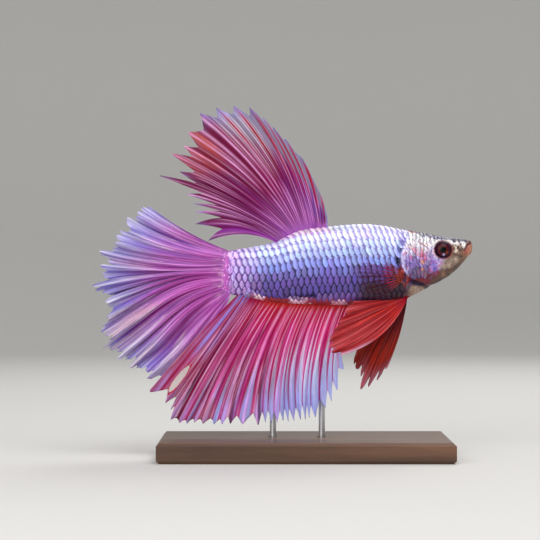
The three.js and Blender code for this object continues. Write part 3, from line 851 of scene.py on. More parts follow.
def build_fin(name, look):
    """A fan of rays and web as one thin closed mesh."""
    fin = FINS[name]
    mesh = sheet(name, fin.ray_count * fin.columns, fin.rows)
    flat = coordinates(mesh)
    u, down = flat[:, 0] + 0.5, flat[:, 1] + 0.5
    side = np.where(flat[:, 2] < -0.5, -1.0, 1.0)
    far = -ROOT_DEPTH + (reach(fin, u) + ROOT_DEPTH) * down
    size = along(fin.rays, 2, u)
    share = far / size
    step = 1e-3
    across = fin_point(fin, np.minimum(u + step, 1), far) - fin_point(fin, np.maximum(u - step, 0), far)
    outward = fin_point(fin, u, far + step) - fin_point(fin, u, far - step)
    normal = np.cross(across, outward)
    normal /= np.linalg.norm(normal, axis=1, keepdims=True)
    fields = fin_fields(fin, u, share)
    half = (look.web / 2 + look.ray * fields.line) / MM
    half *= 1 - EDGE_THINNING * smooth(0.75, 1.0, down)
    half += fin.swell * fall(0.0, 0.16, share)
    place(mesh, fin_point(fin, u, far) + normal * (half * side)[:, None])
    face_outwards(mesh)
    colours, clear = fin.paint(fields, palette(look))
    store_colour(mesh, "paint", colours)
    store_number(mesh, "clear", np.clip(clear, 0, 1))
    store_map(mesh, "rays", np.stack([fields.number, share * size], -1))
    material = bpy.data.materials.get("fish_fin_web") or fin_material()
    return add_piece(mesh, material, (fin.node,))


def threads(base, f, light, dark, amount, vivid=1.06):
    """Lays fine lines along the rays, broad ones and sharp fibres, and gives back the finished colour."""
    grown = amount * smooth(0.0, 0.1, f.s)
    bright = mix(base.colour * 1.25, light, 0.35)
    base.lay(dark, smooth(0.56, 0.8, 1 - f.thread) * 0.35 * grown)
    base.lay(bright, smooth(0.56, 0.8, f.thread) * 0.5 * grown)
    for (off, chance), share in ((f.coarse, grown), (f.fine, grown * 0.7 * smooth(0.3, 0.7, f.s))):
        base.lay(dark, bell(np.abs(off) - 0.5, 0.2) * smooth(0.25, 0.6, 1 - chance) * 0.65 * share)
        base.lay(light, bell(off, 0.16) * smooth(0.4, 0.7, chance) * 0.9 * share)
    base.lay(dark, smooth(0.6, 0.8, 1 - f.hair) * 0.25 * grown)
    base.dim(0.86 + 0.3 * f.grain)
    grey = base.colour.mean(-1, keepdims=True)
    return grey + (base.colour - grey) * vivid


def lobe_edge_highlight(f, width):
    """1 along the edge of each lobe that lies over its neighbour, away from the root, where a painted
    highlight goes.
    """
    return bell(f.step - 1, width) * smooth(0.3, 0.6, f.s)


def lobe_shade(f):
    """1 in the painted shadow just under such an edge."""
    return smooth(0.15, 0.6, f.under)


def paint_tail(f, c):
    """Colours of the tail fin, and how clear it is."""
    u, s, line, fold = f.u, f.s, f.line, f.fold
    low = smooth(0.44, 0.56, u)
    high_web = ramp(
        s,
        (0, mix(c.fuchsia, c.lavender, 0.55) * 0.9),
        (0.2, mix(c.lilac, c.candy, 0.15) * 0.95),
        (0.5, mix(c.lilac, c.candy, 0.3)),
        (0.75, mix(c.lilac, c.lavender, 0.5)),
        (1, mix(c.periwinkle, c.lavender, 0.4)),
    )
    low_web = ramp(
        s,
        (0, mix(c.fuchsia, c.lavender, 0.5) * 0.9),
        (0.2, mix(c.fuchsia, c.lilac, 0.55) * 0.95),
        (0.5, mix(c.lilac, c.violet, 0.25)),
        (0.78, mix(c.lilac, c.periwinkle, 0.35)),
        (1, mix(c.ice, c.periwinkle, 0.4)),
    )
    base = Paint(mix(high_web, low_web, low))
    blue = bell(u - 0.42, 0.06) + 0.7 * bell(u - 0.29, 0.03) + 0.8 * smooth(0.55, 0.8, f.broad)
    base.lay(mix(c.periwinkle, c.violet, 0.4), blue * smooth(0.15, 0.45, s) * 0.65 * (1 - 0.6 * low))
    # Painted shadow under the edge of each overlapping lobe.
    base.lay(mix(c.grape, c.slate_blue, s) * 0.7, lobe_shade(f) * 0.75 * smooth(0.2, 0.5, s))
    base.lay(c.fuchsia, smooth(0.5, 0.8, 1 - f.broad) * fall(0.5, 0.9, s) * 0.4)
    ridge = ramp(
        s,
        (0, mix(c.fuchsia, c.candy, 0.3)),
        (0.25, mix(c.fuchsia, c.candy, 0.6)),
        (0.6, mix(c.candy, c.lilac, 0.3)),
        (0.8, mix(c.white, c.ice, 0.4)),
        (1, c.white),
    )
    base.lay(ridge, line * (0.3 + 0.3 * s))
    # Each fold has a painted highlight on its back and painted shade in the hollow under it, deepest
    # in the lower half.
    edge = fall(0.88, 0.95, u)
    light = bell(fold + 0.05, 0.15) * edge * smooth(0.0, 0.2, s) * (0.55 + 0.45 * low)
    cream = spot(u, s, 0.7, 0.85, 0.11, 0.4) + 0.8 * spot(u, s, 0.33, 0.8, 0.035, 0.3)
    cream = cream + 0.7 * spot(u, s, 0.86, 0.9, 0.03, 0.2)
    warm = mix(ridge, mix(c.cream, c.salmon, 0.35), cream * 0.75)
    base.lay(warm, light * (0.7 + 0.3 * f.broad))
    base.lay(mix(c.cream, c.salmon, 0.6), cream * 0.6 * (1 - bell(fold - 0.24, 0.15)))
    hollow = bell(fold - 0.25, 0.13) * edge * hill(s, 0.06, 0.25, 0.78, 1.0)
    base.lay(mix(c.wine, c.magenta, 0.3 + 0.5 * f.broad), hollow * (0.35 + 0.6 * low))
    fine = (0.5 + 0.5 * np.cos(2 * np.pi * f.number * 2)) * (1 - edge)
    base.lay(c.candy, fine * 0.6 * smooth(0.1, 0.5, s))
    # Painted highlight along the edge of each overlapping lobe, and white ray tips at the margin.
    rim = lobe_edge_highlight(f, 0.12) * (0.35 + 0.5 * s)
    base.lay(c.white, np.maximum(smooth(0.86, 1.0, s) * line * 0.75, rim))
    # Pale flecks, like the stalk's last scales, fade out over the root.
    fleck = smooth(0.5, 0.7, cloud(u * 26, s * 30, 47)) * fall(0.04, 0.16, s)
    base.lay(mix(c.candy, c.white, 0.45), fleck * 0.8)
    clear = (0.12 + 0.26 * (1 - low)) * smooth(0.62, 1.0, s) * (1 - line) * (1 - light)
    dark = mix(c.wine, c.magenta, 0.5 + 0.3 * f.grain)
    dark = mix(dark, mix(c.violet, c.slate_blue, 0.5), smooth(0.4, 0.95, s))
    return threads(base, f, mix(c.candy, mix(c.ice, c.white, 0.4), s**1.5), dark, 1.1, 1.16), clear


def paint_dorsal(f, c):
    """Colours of the dorsal fin, and how clear it is."""
    u, s, off, line, fold = f.u, f.s, f.off, f.line, f.fold
    front = fall(0.5, 0.58, u)
    rear = smooth(0.76, 0.9, u)
    base = Paint(ramp(
        s,
        (0, mix(c.lilac, c.fuchsia, 0.3) * 0.9),
        (0.12, mix(c.lilac, c.magenta, 0.35) * 0.8),
        (0.28, mix(c.lilac, c.magenta, 0.7) * 0.8),
        (0.45, mix(c.magenta, c.wine, 0.2) * 0.9),
        (0.75, mix(c.magenta, c.crimson, 0.4) * 0.7),
        (1, mix(c.magenta, c.mist, 0.45) * 0.85),
    ))
    violet = smooth(0.5, 0.85, f.broad) * fall(0.3, 0.65, s)
    base.lay(mix(c.orchid, c.grape, 0.45) * 0.85, violet * 0.6)
    blue = fall(0.12, 0.4, u) * hill(s, 0.05, 0.2, 0.5, 0.7)
    base.lay(mix(c.violet, c.slate_blue, f.grain), blue * 0.6)
    # The outer part of the front is clear between thin red rays.
    clearing = np.interp(u, (0, 0.12, 0.3, 0.45, 0.56), (0.3, 0.42, 0.5, 0.6, 0.75))
    opened = front * smooth(clearing - 0.08, clearing + 0.1, s)
    web = mix(mix(c.mist, c.lilac, 0.25 * f.grain) * 0.72, c.ice * 0.85, 0.35 * smooth(0.55, 1.0, s))
    base.lay(web, opened * (1 - bell(off, 0.17)) * 0.95)
    red = bell(off, 0.125) * front * hill(s, clearing - 0.3, clearing - 0.05, 0.9, 0.99)
    base.lay(mix(c.crimson, c.scarlet, 0.2), red * 0.97)
    # The middle carries pale lines above deep crimson, and the rear top is orange-red.
    crimson = spot(u, s, 0.55, 0.5, 0.11, 0.34)
    base.lay(mix(c.crimson, c.wine, 0.5) * 0.8, crimson * 0.75)
    # Painted shade in the hollow of each fold behind the front, and a painted highlight on its ridge.
    deep = mix(c.wine, c.crimson, 0.35 * smooth(0.4, 0.7, f.broad)) * 0.8
    hollow = bell(fold - 0.25, 0.17) * smooth(0.5, 0.58, u)
    base.lay(deep, hollow * hill(s, 0.1, 0.3, 0.8, 0.97) * 0.42)
    ridge = bell(fold + 0.05, 0.07) * smooth(0.5, 0.6, u) * smooth(0.08, 0.3, s)
    base.lay(mix(c.candy, c.hot_pink, 0.5), ridge * 0.3)
    hot = spot(u, s, 0.65, 0.9, 0.1, 0.32) * (0.65 + 0.35 * bell(off, 0.3))
    base.lay(mix(c.ember, c.tangerine, 0.3 * f.grain), hot * 0.95)
    stripe = np.maximum(bell(np.abs(off) - 0.3, 0.05), bell(np.abs(off) - 0.12, 0.04))
    base.lay(mix(c.candy, c.white, 0.5 + 0.4 * s), spot(u, s, 0.49, 0.74, 0.075, 0.4) * stripe * 0.9)
    dusk = smooth(0.56, 0.66, u) * smooth(0.2, 0.5, s) * (1 - 0.7 * hot)
    base.dim(0.9 - 0.24 * dusk - 0.14 * rear)
    # Painted shadow under the edge of each overlapping lobe, and a painted highlight along it.
    base.lay(c.wine * 0.8, lobe_shade(f) * 0.65)
    base.lay(mix(c.candy, c.white, 0.3), lobe_edge_highlight(f, 0.1) * 0.6)
    tone = mix(mix(c.magenta, c.violet, 0.4), c.brick, 0.35 * smooth(0.45, 0.7, f.grain)) * 0.5
    base.lay(tone, rear * 0.6 * smooth(0.2, 0.5, s))
    base.lay(c.candy, rear * line * smooth(0.2, 0.5, s) * 0.35)
    under = smooth(0.94, 0.985, u)
    base.lay(mix(c.fuchsia, c.violet, 0.45) * 0.9, under * 0.8)
    tips = smooth(0.84, 1.0, s) * (0.5 + 0.4 * rear) * (1 - 0.8 * hot)
    base.lay(mix(c.tip, c.slate_blue, 0.3), tips)
    fringe = fall(0.015, 0.05, u)
    base.lay(mix(c.tip, c.mist, 0.4) * 0.9, fringe * 0.8)
    clear = 0.3 * opened * (1 - bell(off, 0.22)) + 0.2 * rear * smooth(0.5, 0.9, s) * (1 - line)
    pale = mix(c.candy, c.white, 0.1 + 0.35 * s) * 0.9
    return threads(base, f, pale, c.wine, 1.2 - 0.9 * opened - 0.6 * hot, 1.2), clear


# Deep folds of the anal fin, each painted as a shaded valley with a lit back: place across it, half
# width, and where they start along the rays.
ANAL_VALLEYS = ((0.5, 0.012, 0.3), (0.63, 0.018, 0.1), (0.76, 0.02, 0.05), (0.84, 0.016, 0.15))


def paint_anal(f, c):
    """Colours of the anal fin, and how clear it is."""
    u, s, off, fold = f.u, f.s, f.off, f.fold
    front = fall(0.42, 0.66, u)
    rear = smooth(0.7, 0.86, u)
    base = Paint(ramp(
        s,
        (0, mix(c.crimson, c.ember, 0.7)),
        (0.06, mix(c.rose, c.ember, 0.5)),
        (0.22, mix(c.rose, c.candy, 0.2)),
        (0.42, mix(c.hot_pink, c.candy, 0.5)),
        (0.7, mix(c.hot_pink, c.lilac, 0.7)),
        (1, mix(c.fuchsia, c.lilac, 0.5)),
    ))
    base.lay(c.hot_pink, smooth(0.4, 0.75, f.broad) * smooth(0.1, 0.35, s) * 0.75)
    base.lay(mix(c.fuchsia, c.hot_pink, 0.3), smooth(0.45, 0.8, 1 - f.broad) * smooth(0.15, 0.45, s) * 0.7)
    base.lay(mix(c.crimson, c.magenta, 0.5) * 0.75, rear * 0.85)
    # A painted highlight beside every ray and a painted shadow between two, then pale wedges that
    # widen to the edge.
    glint = bell(off - 0.1, 0.12) * smooth(0.0, 0.06, s) * (0.45 + 0.5 * f.broad)
    base.lay(mix(c.hot_pink, c.white, 0.5), glint * (1 - 0.4 * rear))
    red = bell(np.abs(off) - 0.5, 0.13) * fall(0.5, 0.9, s)
    base.lay(c.crimson * 0.85, red * 0.65)
    start = np.interp(u, (0, 0.3, 0.6, 0.8, 1), (0.16, 0.24, 0.4, 0.58, 0.75))
    start = start + 0.2 * (cloud(f.number * 1.0, 0 * s, 58) - 0.5)
    width = 0.07 + 0.38 * smooth(start, 0.9, s) * (0.4 + 0.6 * front)
    wedge = fall(width * 0.85, width * 1.15, np.abs(off)) * smooth(start - 0.06, start + 0.12, s)
    tips = mix(c.ice, c.periwinkle, 0.45) * 1.35
    pale = ramp(s, (0.2, c.candy), (0.38, mix(c.ice, c.white, 0.6) * 1.1), (0.65, c.ice * 1.2), (1, tips))
    base.lay(pale, wedge * (0.97 - 0.55 * rear))
    between = bell(np.abs(off) - 0.5, 0.1) * smooth(0.45, 0.7, s) * front
    base.lay(mix(c.fuchsia, c.magenta, 0.4), between * 0.7)
    # Painted shade in the hollow of each fold and a painted highlight on its ridge.
    hollow = bell(fold - 0.25, 0.17) * smooth(0.2, 0.34, u) * hill(s, 0.05, 0.2, 0.7, 0.95)
    base.lay(mix(c.wine, c.crimson, 0.2), hollow * (0.5 + 0.45 * rear))
    ridge = bell(fold + 0.05, 0.13) * smooth(0.25, 0.5, u) * smooth(0.1, 0.3, s)
    base.lay(c.candy, ridge * (0.5 - 0.3 * rear))
    for middle, width, start in ANAL_VALLEYS:
        valley_shade = bell(u - middle - 0.03 * s, width) * hill(s, start, start + 0.2, 0.7, 0.92)
        base.lay(mix(c.wine, c.magenta, 0.25), valley_shade * 0.85)
        # Painted highlight on the fold's back, just in front of the shaded valley.
        back = bell(u - middle + 0.03 - 0.03 * s, width * 0.8) * smooth(start, start + 0.3, s)
        base.lay(mix(c.hot_pink, c.candy, s), back * (0.6 - 0.35 * rear))
    strip = smooth(0.87, 0.92, u) * fall(0.4, 0.65, s)
    base.lay(mix(c.lavender, c.periwinkle, 0.5), strip * (1 - bell(off, 0.26)) * 0.85)
    lines = np.maximum(bell(np.abs(off) - 0.28, 0.07), bell(off, 0.09))
    lines = lines * smooth(0.86, 0.92, u) * smooth(0.0, 0.1, s)
    base.lay(mix(c.wine, c.crimson, 0.3 + 0.4 * f.broad), lines * 0.75)
    base.lay(c.slate_blue * 0.7, bell(np.abs(off) - 0.42, 0.06) * strip * 0.8)
    tan = spot(u, s, 0.74, 0.92, 0.045, 0.16)
    base.lay(mix(c.salmon, c.lilac, 0.35), tan * 0.6)
    # Between the last two lobes the web is clear, inside a red rim.
    window = spot(u, s, 0.952, 0.79, 0.016, 0.18)
    base.lay(c.crimson, smooth(0.02, 0.3, window) * 0.9)
    clear = 0.88 * smooth(0.4, 0.75, window)
    # Painted shadow under the edge of each overlapping lobe, and a painted highlight along it.
    base.lay(c.wine * 0.8, lobe_shade(f) * 0.75)
    base.lay(mix(c.candy, c.white, 0.4), lobe_edge_highlight(f, 0.1) * 0.6)
    dark = mix(c.wine, c.crimson, 0.55 + 0 * s)
    fade = 1 - 0.85 * wedge * smooth(0.3, 0.55, s)
    return threads(base, f, mix(c.candy, c.white, 0.2 + 0.5 * s), dark, fade, 1.22), clear


def paint_near_pelvic(f, c):
    """Scarlet, with a pale rim along the end of the rear edge."""
    u, s, line = f.u, f.s, f.line
    warm = mix(c.scarlet, c.crimson, 0.22) * 1.12
    base = Paint(ramp(s, (0, c.crimson), (0.2, warm), (1, mix(warm, c.blush, 0.15))))
    base.lay(c.blood, (1 - line) * 0.65 * smooth(0.1, 0.3, s))
    base.lay(mix(c.candy, c.white, 0.5), smooth(0.92, 0.98, u) * smooth(0.5, 0.75, s) * 0.9)
    base.lay(c.blush, smooth(0.93, 1.0, s) * 0.6)
    return threads(base, f, mix(c.blush, c.ember, 0.5), c.blood, 0.9), 0 * s


def paint_far_pelvic(f, c):
    """Darker red, with pale streaks towards the tip."""
    u, s, line = f.u, f.s, f.line
    base = Paint(ramp(s, (0, c.maroon), (0.3, c.blood), (0.65, c.scarlet), (1, c.ember)))
    base.lay(c.maroon, (1 - line) * 0.6 * fall(0.7, 1.0, s))
    base.lay(mix(c.candy, c.white, 0.4), smooth(0.68, 1.0, s) * (0.35 + 0.5 * line) * smooth(0.2, 0.6, u))
    base.dim(0.9 + 0 * s)
    return threads(base, f, c.ember, c.maroon, 0.7), 0 * s


def paint_pectoral(f, c):
    """Red and violet rays in a clear web."""
    u, s, off = f.u, f.s, f.off
    far = mix(mix(c.violet, c.crimson, 0.3), c.maroon, smooth(0.25, 0.6, u))
    base = mix(mix(c.brick, c.crimson, smooth(0.1, 0.3, s)), far, smooth(0.3, 0.5, s))
    ray = bell(off, 0.15) * (1 - 0.75 * smooth(0.3, 0.55, s) * fall(0.2, 0.5, u))
    return base, 1 - ray * (1 - 0.55 * smooth(0.4, 1.0, s)) - 0.4 * fall(0.02, 0.14, s) * (1 - ray)


# What the small fins share, and the large ones set anew: the number of folds, of fibres to a ray and of
# rays; pleat, crest, curl and jag at places across the fin; lobes as (start, span) across it.
SMALL_FIN = {
    "ray_count": 7, "columns": 16, "rows": 60, "folds": 5, "fibres": 2.0, "spread": None, "uneven": 1.0,
    "pleat": ((0, 1), (0.3, 0.3)), "crest": ((0, 1), (0.5, 0.5)), "curl": ((0, 1), (0, 0)),
    "flutter": 0.1, "jag": ((0, 1), (1, 1)), "stretch": 0.0, "fork": 0.22, "ray_width": 0.16, "fray": 0.02,
    "swell": 0.25, "lobes": (), "overlap": 0.0, "ragged": 0.0, "slant": 0.0, "side": 1, "level": 0.0,
}
PECTORAL_LEVEL = float(flank_at(PECTORAL_ROOT["x"], PECTORAL_ROOT["z"])) - 0.1  # just under the skin
PELVIC = {"root": pelvic_root, "slot": "pelvic_fins"}
PECTORAL = {
    "root": pectoral_root, "rays": PECTORAL_RAYS, "paint": paint_pectoral, "slot": "pectoral_fins",
    "ray_count": 11, "columns": 12, "rows": 40, "pleat": ((0, 1), (0.1, 0.1)), "flutter": 0.0,
    "fork": 0.2, "ray_width": 0.12, "swell": 0.2,
}
FIN_TABLE = {
    "dorsal_fan": {
        "root": straight_root(4.6, -10.8, back_at), "rays": DORSAL_RAYS, "paint": paint_dorsal,
        "node": "dorsal_fin", "seed": 61, "ray_count": 20, "columns": 20, "rows": 66,
        "spread": ((0, 0.2, 0.5, 0.6, 1), (0.5, 2.6, 7.8, 10, 19)), "uneven": 0.25, "folds": 15,
        "lobes": (
            (0.578, 0.066), (0.644, 0.045), (0.689, 0.089), (0.778, 0.044), (0.822, 0.089), (0.911, 0.089),
        ),
        "pleat": ((0, 0.45, 0.62, 1), (0.02, 0.05, 0.13, 0.2)), "crest": ((0, 1), (0.4, 0.35)),
        "overlap": 0.22, "flutter": 0.08, "fibres": 2.2, "fork": 0.0, "ray_width": 0.15, "fray": 0.012,
        "swell": 0.28, "stretch": 0.012,
        "jag": ((0, 0.5, 0.7, 1), (1.9, 1.9, 1.1, 1)),
    },
    "anal_fan": {
        "root": straight_root(9.4, -23.2, belly_at), "rays": ANAL_RAYS, "paint": paint_anal,
        "node": "anal_fin", "seed": 63, "ray_count": 26, "rows": 64, "folds": 12,
        "fibres": 1.8, "pleat": ((0, 0.3, 0.6, 1), (0.25, 0.4, 0.7, 0.6)), "crest": ((0, 1), (0.4, 0.3)),
        "flutter": 0.3, "fork": 0.0, "ray_width": 0.15, "fray": 0.012, "stretch": 0.012,
        "jag": ((0, 0.45, 0.6, 0.7, 0.85, 0.9, 1), (1.5, 1.7, 1.2, 0.6, 0.35, 0.8, 0.9)),
        "lobes": ((0.52, 0.12), (0.64, 0.12), (0.76, 0.1), (0.86, 0.07)), "overlap": 0.45, "slant": -0.04,
    },
    "tail_fan": {
        "root": tail_root, "rays": TAIL_RAYS, "paint": paint_tail, "node": "tail_fin",
        "seed": 65, "ray_count": 30, "columns": 14, "rows": 64, "folds": 14, "fibres": 1.5,
        "pleat": ((0, 0.45, 0.58, 0.88, 0.95, 1), (0.35, 0.45, 1.05, 0.95, 0.25, 0.2)),
        "crest": ((0, 0.45, 0.6, 1), (0.45, 0.4, 0.3, 0.3)), "flutter": 0.4, "ray_width": 0.13,
        "fray": 0.022, "swell": 0.12, "jag": ((0, 1), (0.5, 0.5)), "stretch": 0.035, "ragged": 0.085,
        "overlap": 0.45, "slant": 0.02, "curl": ((0, 0.45, 0.6, 0.9, 1), (0, 0, -0.018, -0.018, 0)),
        "lobes": (
            (0.0, 0.1), (0.1, 0.075), (0.175, 0.115), (0.29, 0.075), (0.365, 0.065), (0.43, 0.1),
            (0.53, 0.095), (0.625, 0.085), (0.71, 0.08), (0.79, 0.07), (0.86, 0.08), (0.94, 0.2),
        ),
    },
    "pelvic_blade_right": {
        **PELVIC, "rays": PELVIC_RIGHT_RAYS, "paint": paint_near_pelvic, "node": "pelvic_fin_right",
        "seed": 67, "level": -0.9,
    },
    "pelvic_blade_left": {
        **PELVIC, "rays": PELVIC_LEFT_RAYS, "paint": paint_far_pelvic, "node": "pelvic_fin_left",
        "seed": 69, "level": 0.9,
    },
    "pectoral_fan_right": {
        **PECTORAL, "node": "pectoral_fin_right", "seed": 71, "side": -1, "level": -PECTORAL_LEVEL,
    },
    "pectoral_fan_left": {**PECTORAL, "node": "pectoral_fin_left", "seed": 73, "level": PECTORAL_LEVEL},
}
FINS = {
    name: SimpleNamespace(**{**SMALL_FIN, "slot": fin["node"], **fin}) for name, fin in FIN_TABLE.items()
}


# ---- materials -----------------------------------------------------------------------------------
def add_node(tree, kind, inputs=None, **settings):
    """Adds a node; an input's value is a number, a colour or the output that feeds it."""
    node = tree.nodes.new(kind)
    for name, value in settings.items():
        setattr(node, name, value)
    for name, value in (inputs or {}).items():
        if isinstance(value, bpy.types.NodeSocket):
            tree.links.new(value, node.inputs[name])
        else:
            node.inputs[name].default_value = value
    return node


def new_material(name):
    material = bpy.data.materials.new(name)
    material.use_nodes = True
    material.node_tree.nodes.clear()
    return material, material.node_tree


def millimetre_place(tree, scale=(1, 1, 1), location=(0, 0, 0)):
    """Object coordinates in millimetres, times scale."""
    where = add_node(tree, "ShaderNodeTexCoord").outputs["Object"]
    inputs = {"Vector": where, "Scale": tuple(s / MM for s in scale), "Location": location}
    return add_node(tree, "ShaderNodeMapping", inputs).outputs["Vector"]


def stored(tree, layer):
    """A colour that the mesh carries at its vertices."""
    return add_node(tree, "ShaderNodeVertexColor", layer_name=layer).outputs["Color"]


def maths(tree, operation, *values):
    """The result of a sum of numbers and outputs."""
    return add_node(tree, "ShaderNodeMath", dict(enumerate(values)), operation=operation).outputs[0]


def remap(tree, value, start, end, low=0.0, high=1.0, **settings):
    """Takes start to end over to low to high."""
    inputs = {"Value": value, "From Min": start, "From Max": end, "To Min": low, "To Max": high}
    return add_node(tree, "ShaderNodeMapRange", inputs, **settings).outputs["Result"]


def noise(tree, where, scale, detail=2.0, **more):
    """A random pattern from 0 to 1, with scale lumps to a unit."""
    inputs = {"Vector": where, "Scale": scale, "Detail": detail, **more}
    return add_node(tree, "ShaderNodeTexNoise", inputs).outputs["Fac"]


def shaded(tree, base, factor, low, high):
    """A colour made darker and lighter by a pattern."""
    inputs = {0: base, "Scale": remap(tree, factor, 0.0, 1.0, low, high)}
    return add_node(tree, "ShaderNodeVectorMath", inputs, operation="SCALE").outputs[0]


def blended(tree, factor, under, over):
    """One colour over another; the sockets 6 and 7 are the node's colour inputs."""
    inputs = {"Factor": factor, 6: under, 7: over}
    return add_node(tree, "ShaderNodeMix", inputs, data_type="RGBA").outputs[2]


def banded(tree, value, *stops):
    """Colour at each value, from (place, sRGB hex) stops."""
    node = add_node(tree, "ShaderNodeValToRGB", {"Fac": value})
    for i, (at, code) in enumerate(stops):
        stop = node.color_ramp.elements[i] if i < 2 else node.color_ramp.elements.new(at)
        stop.position, stop.color = at, (*to_linear(code), 1)
    return node.outputs["Color"]


def bumped(tree, height, strength, depth):
    """Normals of small relief, depth in millimetres."""
    inputs = {"Height": height, "Strength": strength, "Distance": depth * MM}
    return add_node(tree, "ShaderNodeBump", inputs).outputs["Normal"]


def surface(tree, inputs):
    """The shader that most materials end in."""
    return add_node(tree, "ShaderNodeBsdfPrincipled", inputs).outputs["BSDF"]


def end_material(material, shader):
    """Makes a shader the material's surface."""
    add_node(material.node_tree, "ShaderNodeOutputMaterial", {"Surface": shader})
    return material


def wet_skin_material():
    """Fish skin: scaleless epidermis under a film of mucus. It is blotched by groups of pigment cells
    about 0.3 mm across, faintly pebbled and glossy."""
    material, tree = new_material("fish_skin_mucus_film")
    where = millimetre_place(tree)
    cells = noise(tree, where, 3.2, 3.0, Roughness=0.6)
    dots = add_node(tree, "ShaderNodeTexVoronoi", {"Vector": where, "Scale": 2.6}).outputs["Distance"]
    base = shaded(tree, stored(tree, "paint"), cells, 0.62, 1.38)
    wet = {
        "Base Color": shaded(tree, base, dots, 0.82, 1.25),
        "Roughness": 0.45,
        "Specular IOR Level": 0.35,
        "Normal": bumped(tree, cells, 0.35, 0.08),
        "Coat Weight": 0.2,
        "Coat Roughness": 0.2,
    }
    return end_material(material, surface(tree, wet))


def scale_material():
    """Fish scales: clear bony plates over guanine crystals. The crystals give a pearly, slightly
    metallic core; pigment and painted shade darken the seam round each plate, and painted shade darkens
    each plate towards its front, under the scale ahead; growth rings lie less than 0.1 mm apart."""
    material, tree = new_material("fish_scale_guanine")
    local = add_node(tree, "ShaderNodeUVMap", uv_map="plate").outputs["UV"]
    parts = add_node(tree, "ShaderNodeSeparateXYZ", {"Vector": local}).outputs
    slim = maths(tree, "POWER", maths(tree, "ABSOLUTE", parts["X"]), 1.5)
    tall = maths(tree, "POWER", maths(tree, "ABSOLUTE", parts["Y"]), 1.35)
    share = add_node(tree, "ShaderNodeAttribute", attribute_name="seam_share").outputs["Fac"]
    across = maths(tree, "MULTIPLY", maths(tree, "ADD", slim, tall), share)
    fleck = noise(tree, millimetre_place(tree), 3.5)
    wobble = maths(tree, "MULTIPLY_ADD", fleck, 0.4, across)
    edge = remap(tree, wobble, 0.68, 1.12, interpolation_type="SMOOTHSTEP")
    pearl = shaded(tree, stored(tree, "paint"), fleck, 0.6, 1.4)
    # Painted shade: each plate darkens towards its front, where the scale ahead overlaps it.
    pearl = shaded(tree, pearl, parts["X"], 1.25, 0.7)
    rings = maths(tree, "SINE", maths(tree, "MULTIPLY", across, 60.0))
    plate = {
        "Base Color": blended(tree, edge, pearl, stored(tree, "seam")),
        "Metallic": 0.25,
        "Roughness": 0.36,
        "Normal": bumped(tree, rings, 0.12, 0.02),
        "Coat Weight": 0.3,
        "Coat Roughness": 0.2,
    }
    return end_material(material, surface(tree, plate))


def fin_material():
    """Fin: bony rays in two thin layers of skin. Light passes through the web; the rays are cut into
    joints about 0.35 mm long and bundles of fine fibres run along them."""
    material, tree = new_material("fish_fin_web")
    local = add_node(tree, "ShaderNodeUVMap", uv_map="rays").outputs["UV"]
    drawn = add_node(tree, "ShaderNodeMapping", {"Vector": local, "Scale": (9.0, 0.35, 1.0)}).outputs[0]
    bundles = noise(tree, drawn, 1.0, 3.0)
    base = shaded(tree, stored(tree, "paint"), bundles, 0.6, 1.4)
    along_ray = add_node(tree, "ShaderNodeSeparateXYZ", {"Vector": local}).outputs["Y"]
    joints = maths(tree, "SINE", maths(tree, "MULTIPLY", along_ray, 2 * math.pi / 0.35))
    skin = {
        "Base Color": base,
        "Roughness": 0.42,
        "Specular IOR Level": 0.16,
        "Normal": bumped(tree, maths(tree, "MULTIPLY_ADD", joints, 0.12, bundles), 0.5, 0.12),
        "Coat Weight": 0.06,
        "Coat Roughness": 0.2,
    }
    glow = add_node(tree, "ShaderNodeBsdfTranslucent", {"Color": base}).outputs["BSDF"]
    body = add_node(tree, "ShaderNodeMixShader", {0: 0.3, 1: surface(tree, skin), 2: glow}).outputs[0]
    clear = add_node(tree, "ShaderNodeAttribute", attribute_name="clear").outputs["Fac"]
    gap = add_node(tree, "ShaderNodeBsdfTransparent").outputs["BSDF"]
    web = add_node(tree, "ShaderNodeMixShader", {0: clear, 1: body, 2: gap}).outputs[0]
    return end_material(material, web)


def eye_material():
    """Eye: a wet clear cornea over a pigmented iris. The black pupil has a thin bright rim, and the
    iris is fibrous maroon with a dark violet ring outside it; two glints on it are painted highlights."""
    material, tree = new_material("fish_eye_cornea")
    where = millimetre_place(tree, (1, 0, 1), (-EYE["x"], 0.0, -EYE["z"]))
    across = add_node(tree, "ShaderNodeVectorMath", {0: where}, operation="LENGTH").outputs["Value"]
    ragged = maths(tree, "MULTIPLY_ADD", noise(tree, where, 2.4), 0.22, across)
    iris = banded(
        tree,
        remap(tree, ragged, 0.0, 2.0),
        *((0.0, "#020203"), (0.37, "#020203"), (0.4, "#5A1814"), (0.45, "#3E0A12"), (0.6, "#541018")),
        *((0.68, "#1A0A1E"), (0.8, "#241634"), (0.87, "#4A1216"), (1.0, "#5A1E1C")),
    )

    def glint(centre, near, far, strength):
        """A painted highlight at a place of the iris, fading from near to far."""
        off = add_node(tree, "ShaderNodeVectorMath", {0: where, 1: centre}, operation="DISTANCE")
        return remap(tree, off.outputs["Value"], near, far, strength, 0.0)

    # Painted highlights: an orange one low at the front of the iris, a pale lavender one under the pupil.
    outside_pupil = maths(tree, "GREATER_THAN", across, 0.68)
    warm = maths(tree, "MULTIPLY", glint((0.75, 0.0, -0.55), 0.15, 0.5, 0.5), outside_pupil)
    iris = blended(tree, warm, iris, (*to_linear("#96401F"), 1))
    iris = blended(tree, glint((0.12, 0.0, -0.92), 0.12, 0.34, 0.9), iris, (*to_linear("#B4A8D8"), 1))
    wet = {
        "Base Color": iris,
        "Roughness": 0.4,
        "Specular IOR Level": 0.05,
        "Coat Weight": 0.35,
        "Coat Roughness": 0.03,
        "Coat IOR": 1.38,
    }
    return end_material(material, surface(tree, wet))


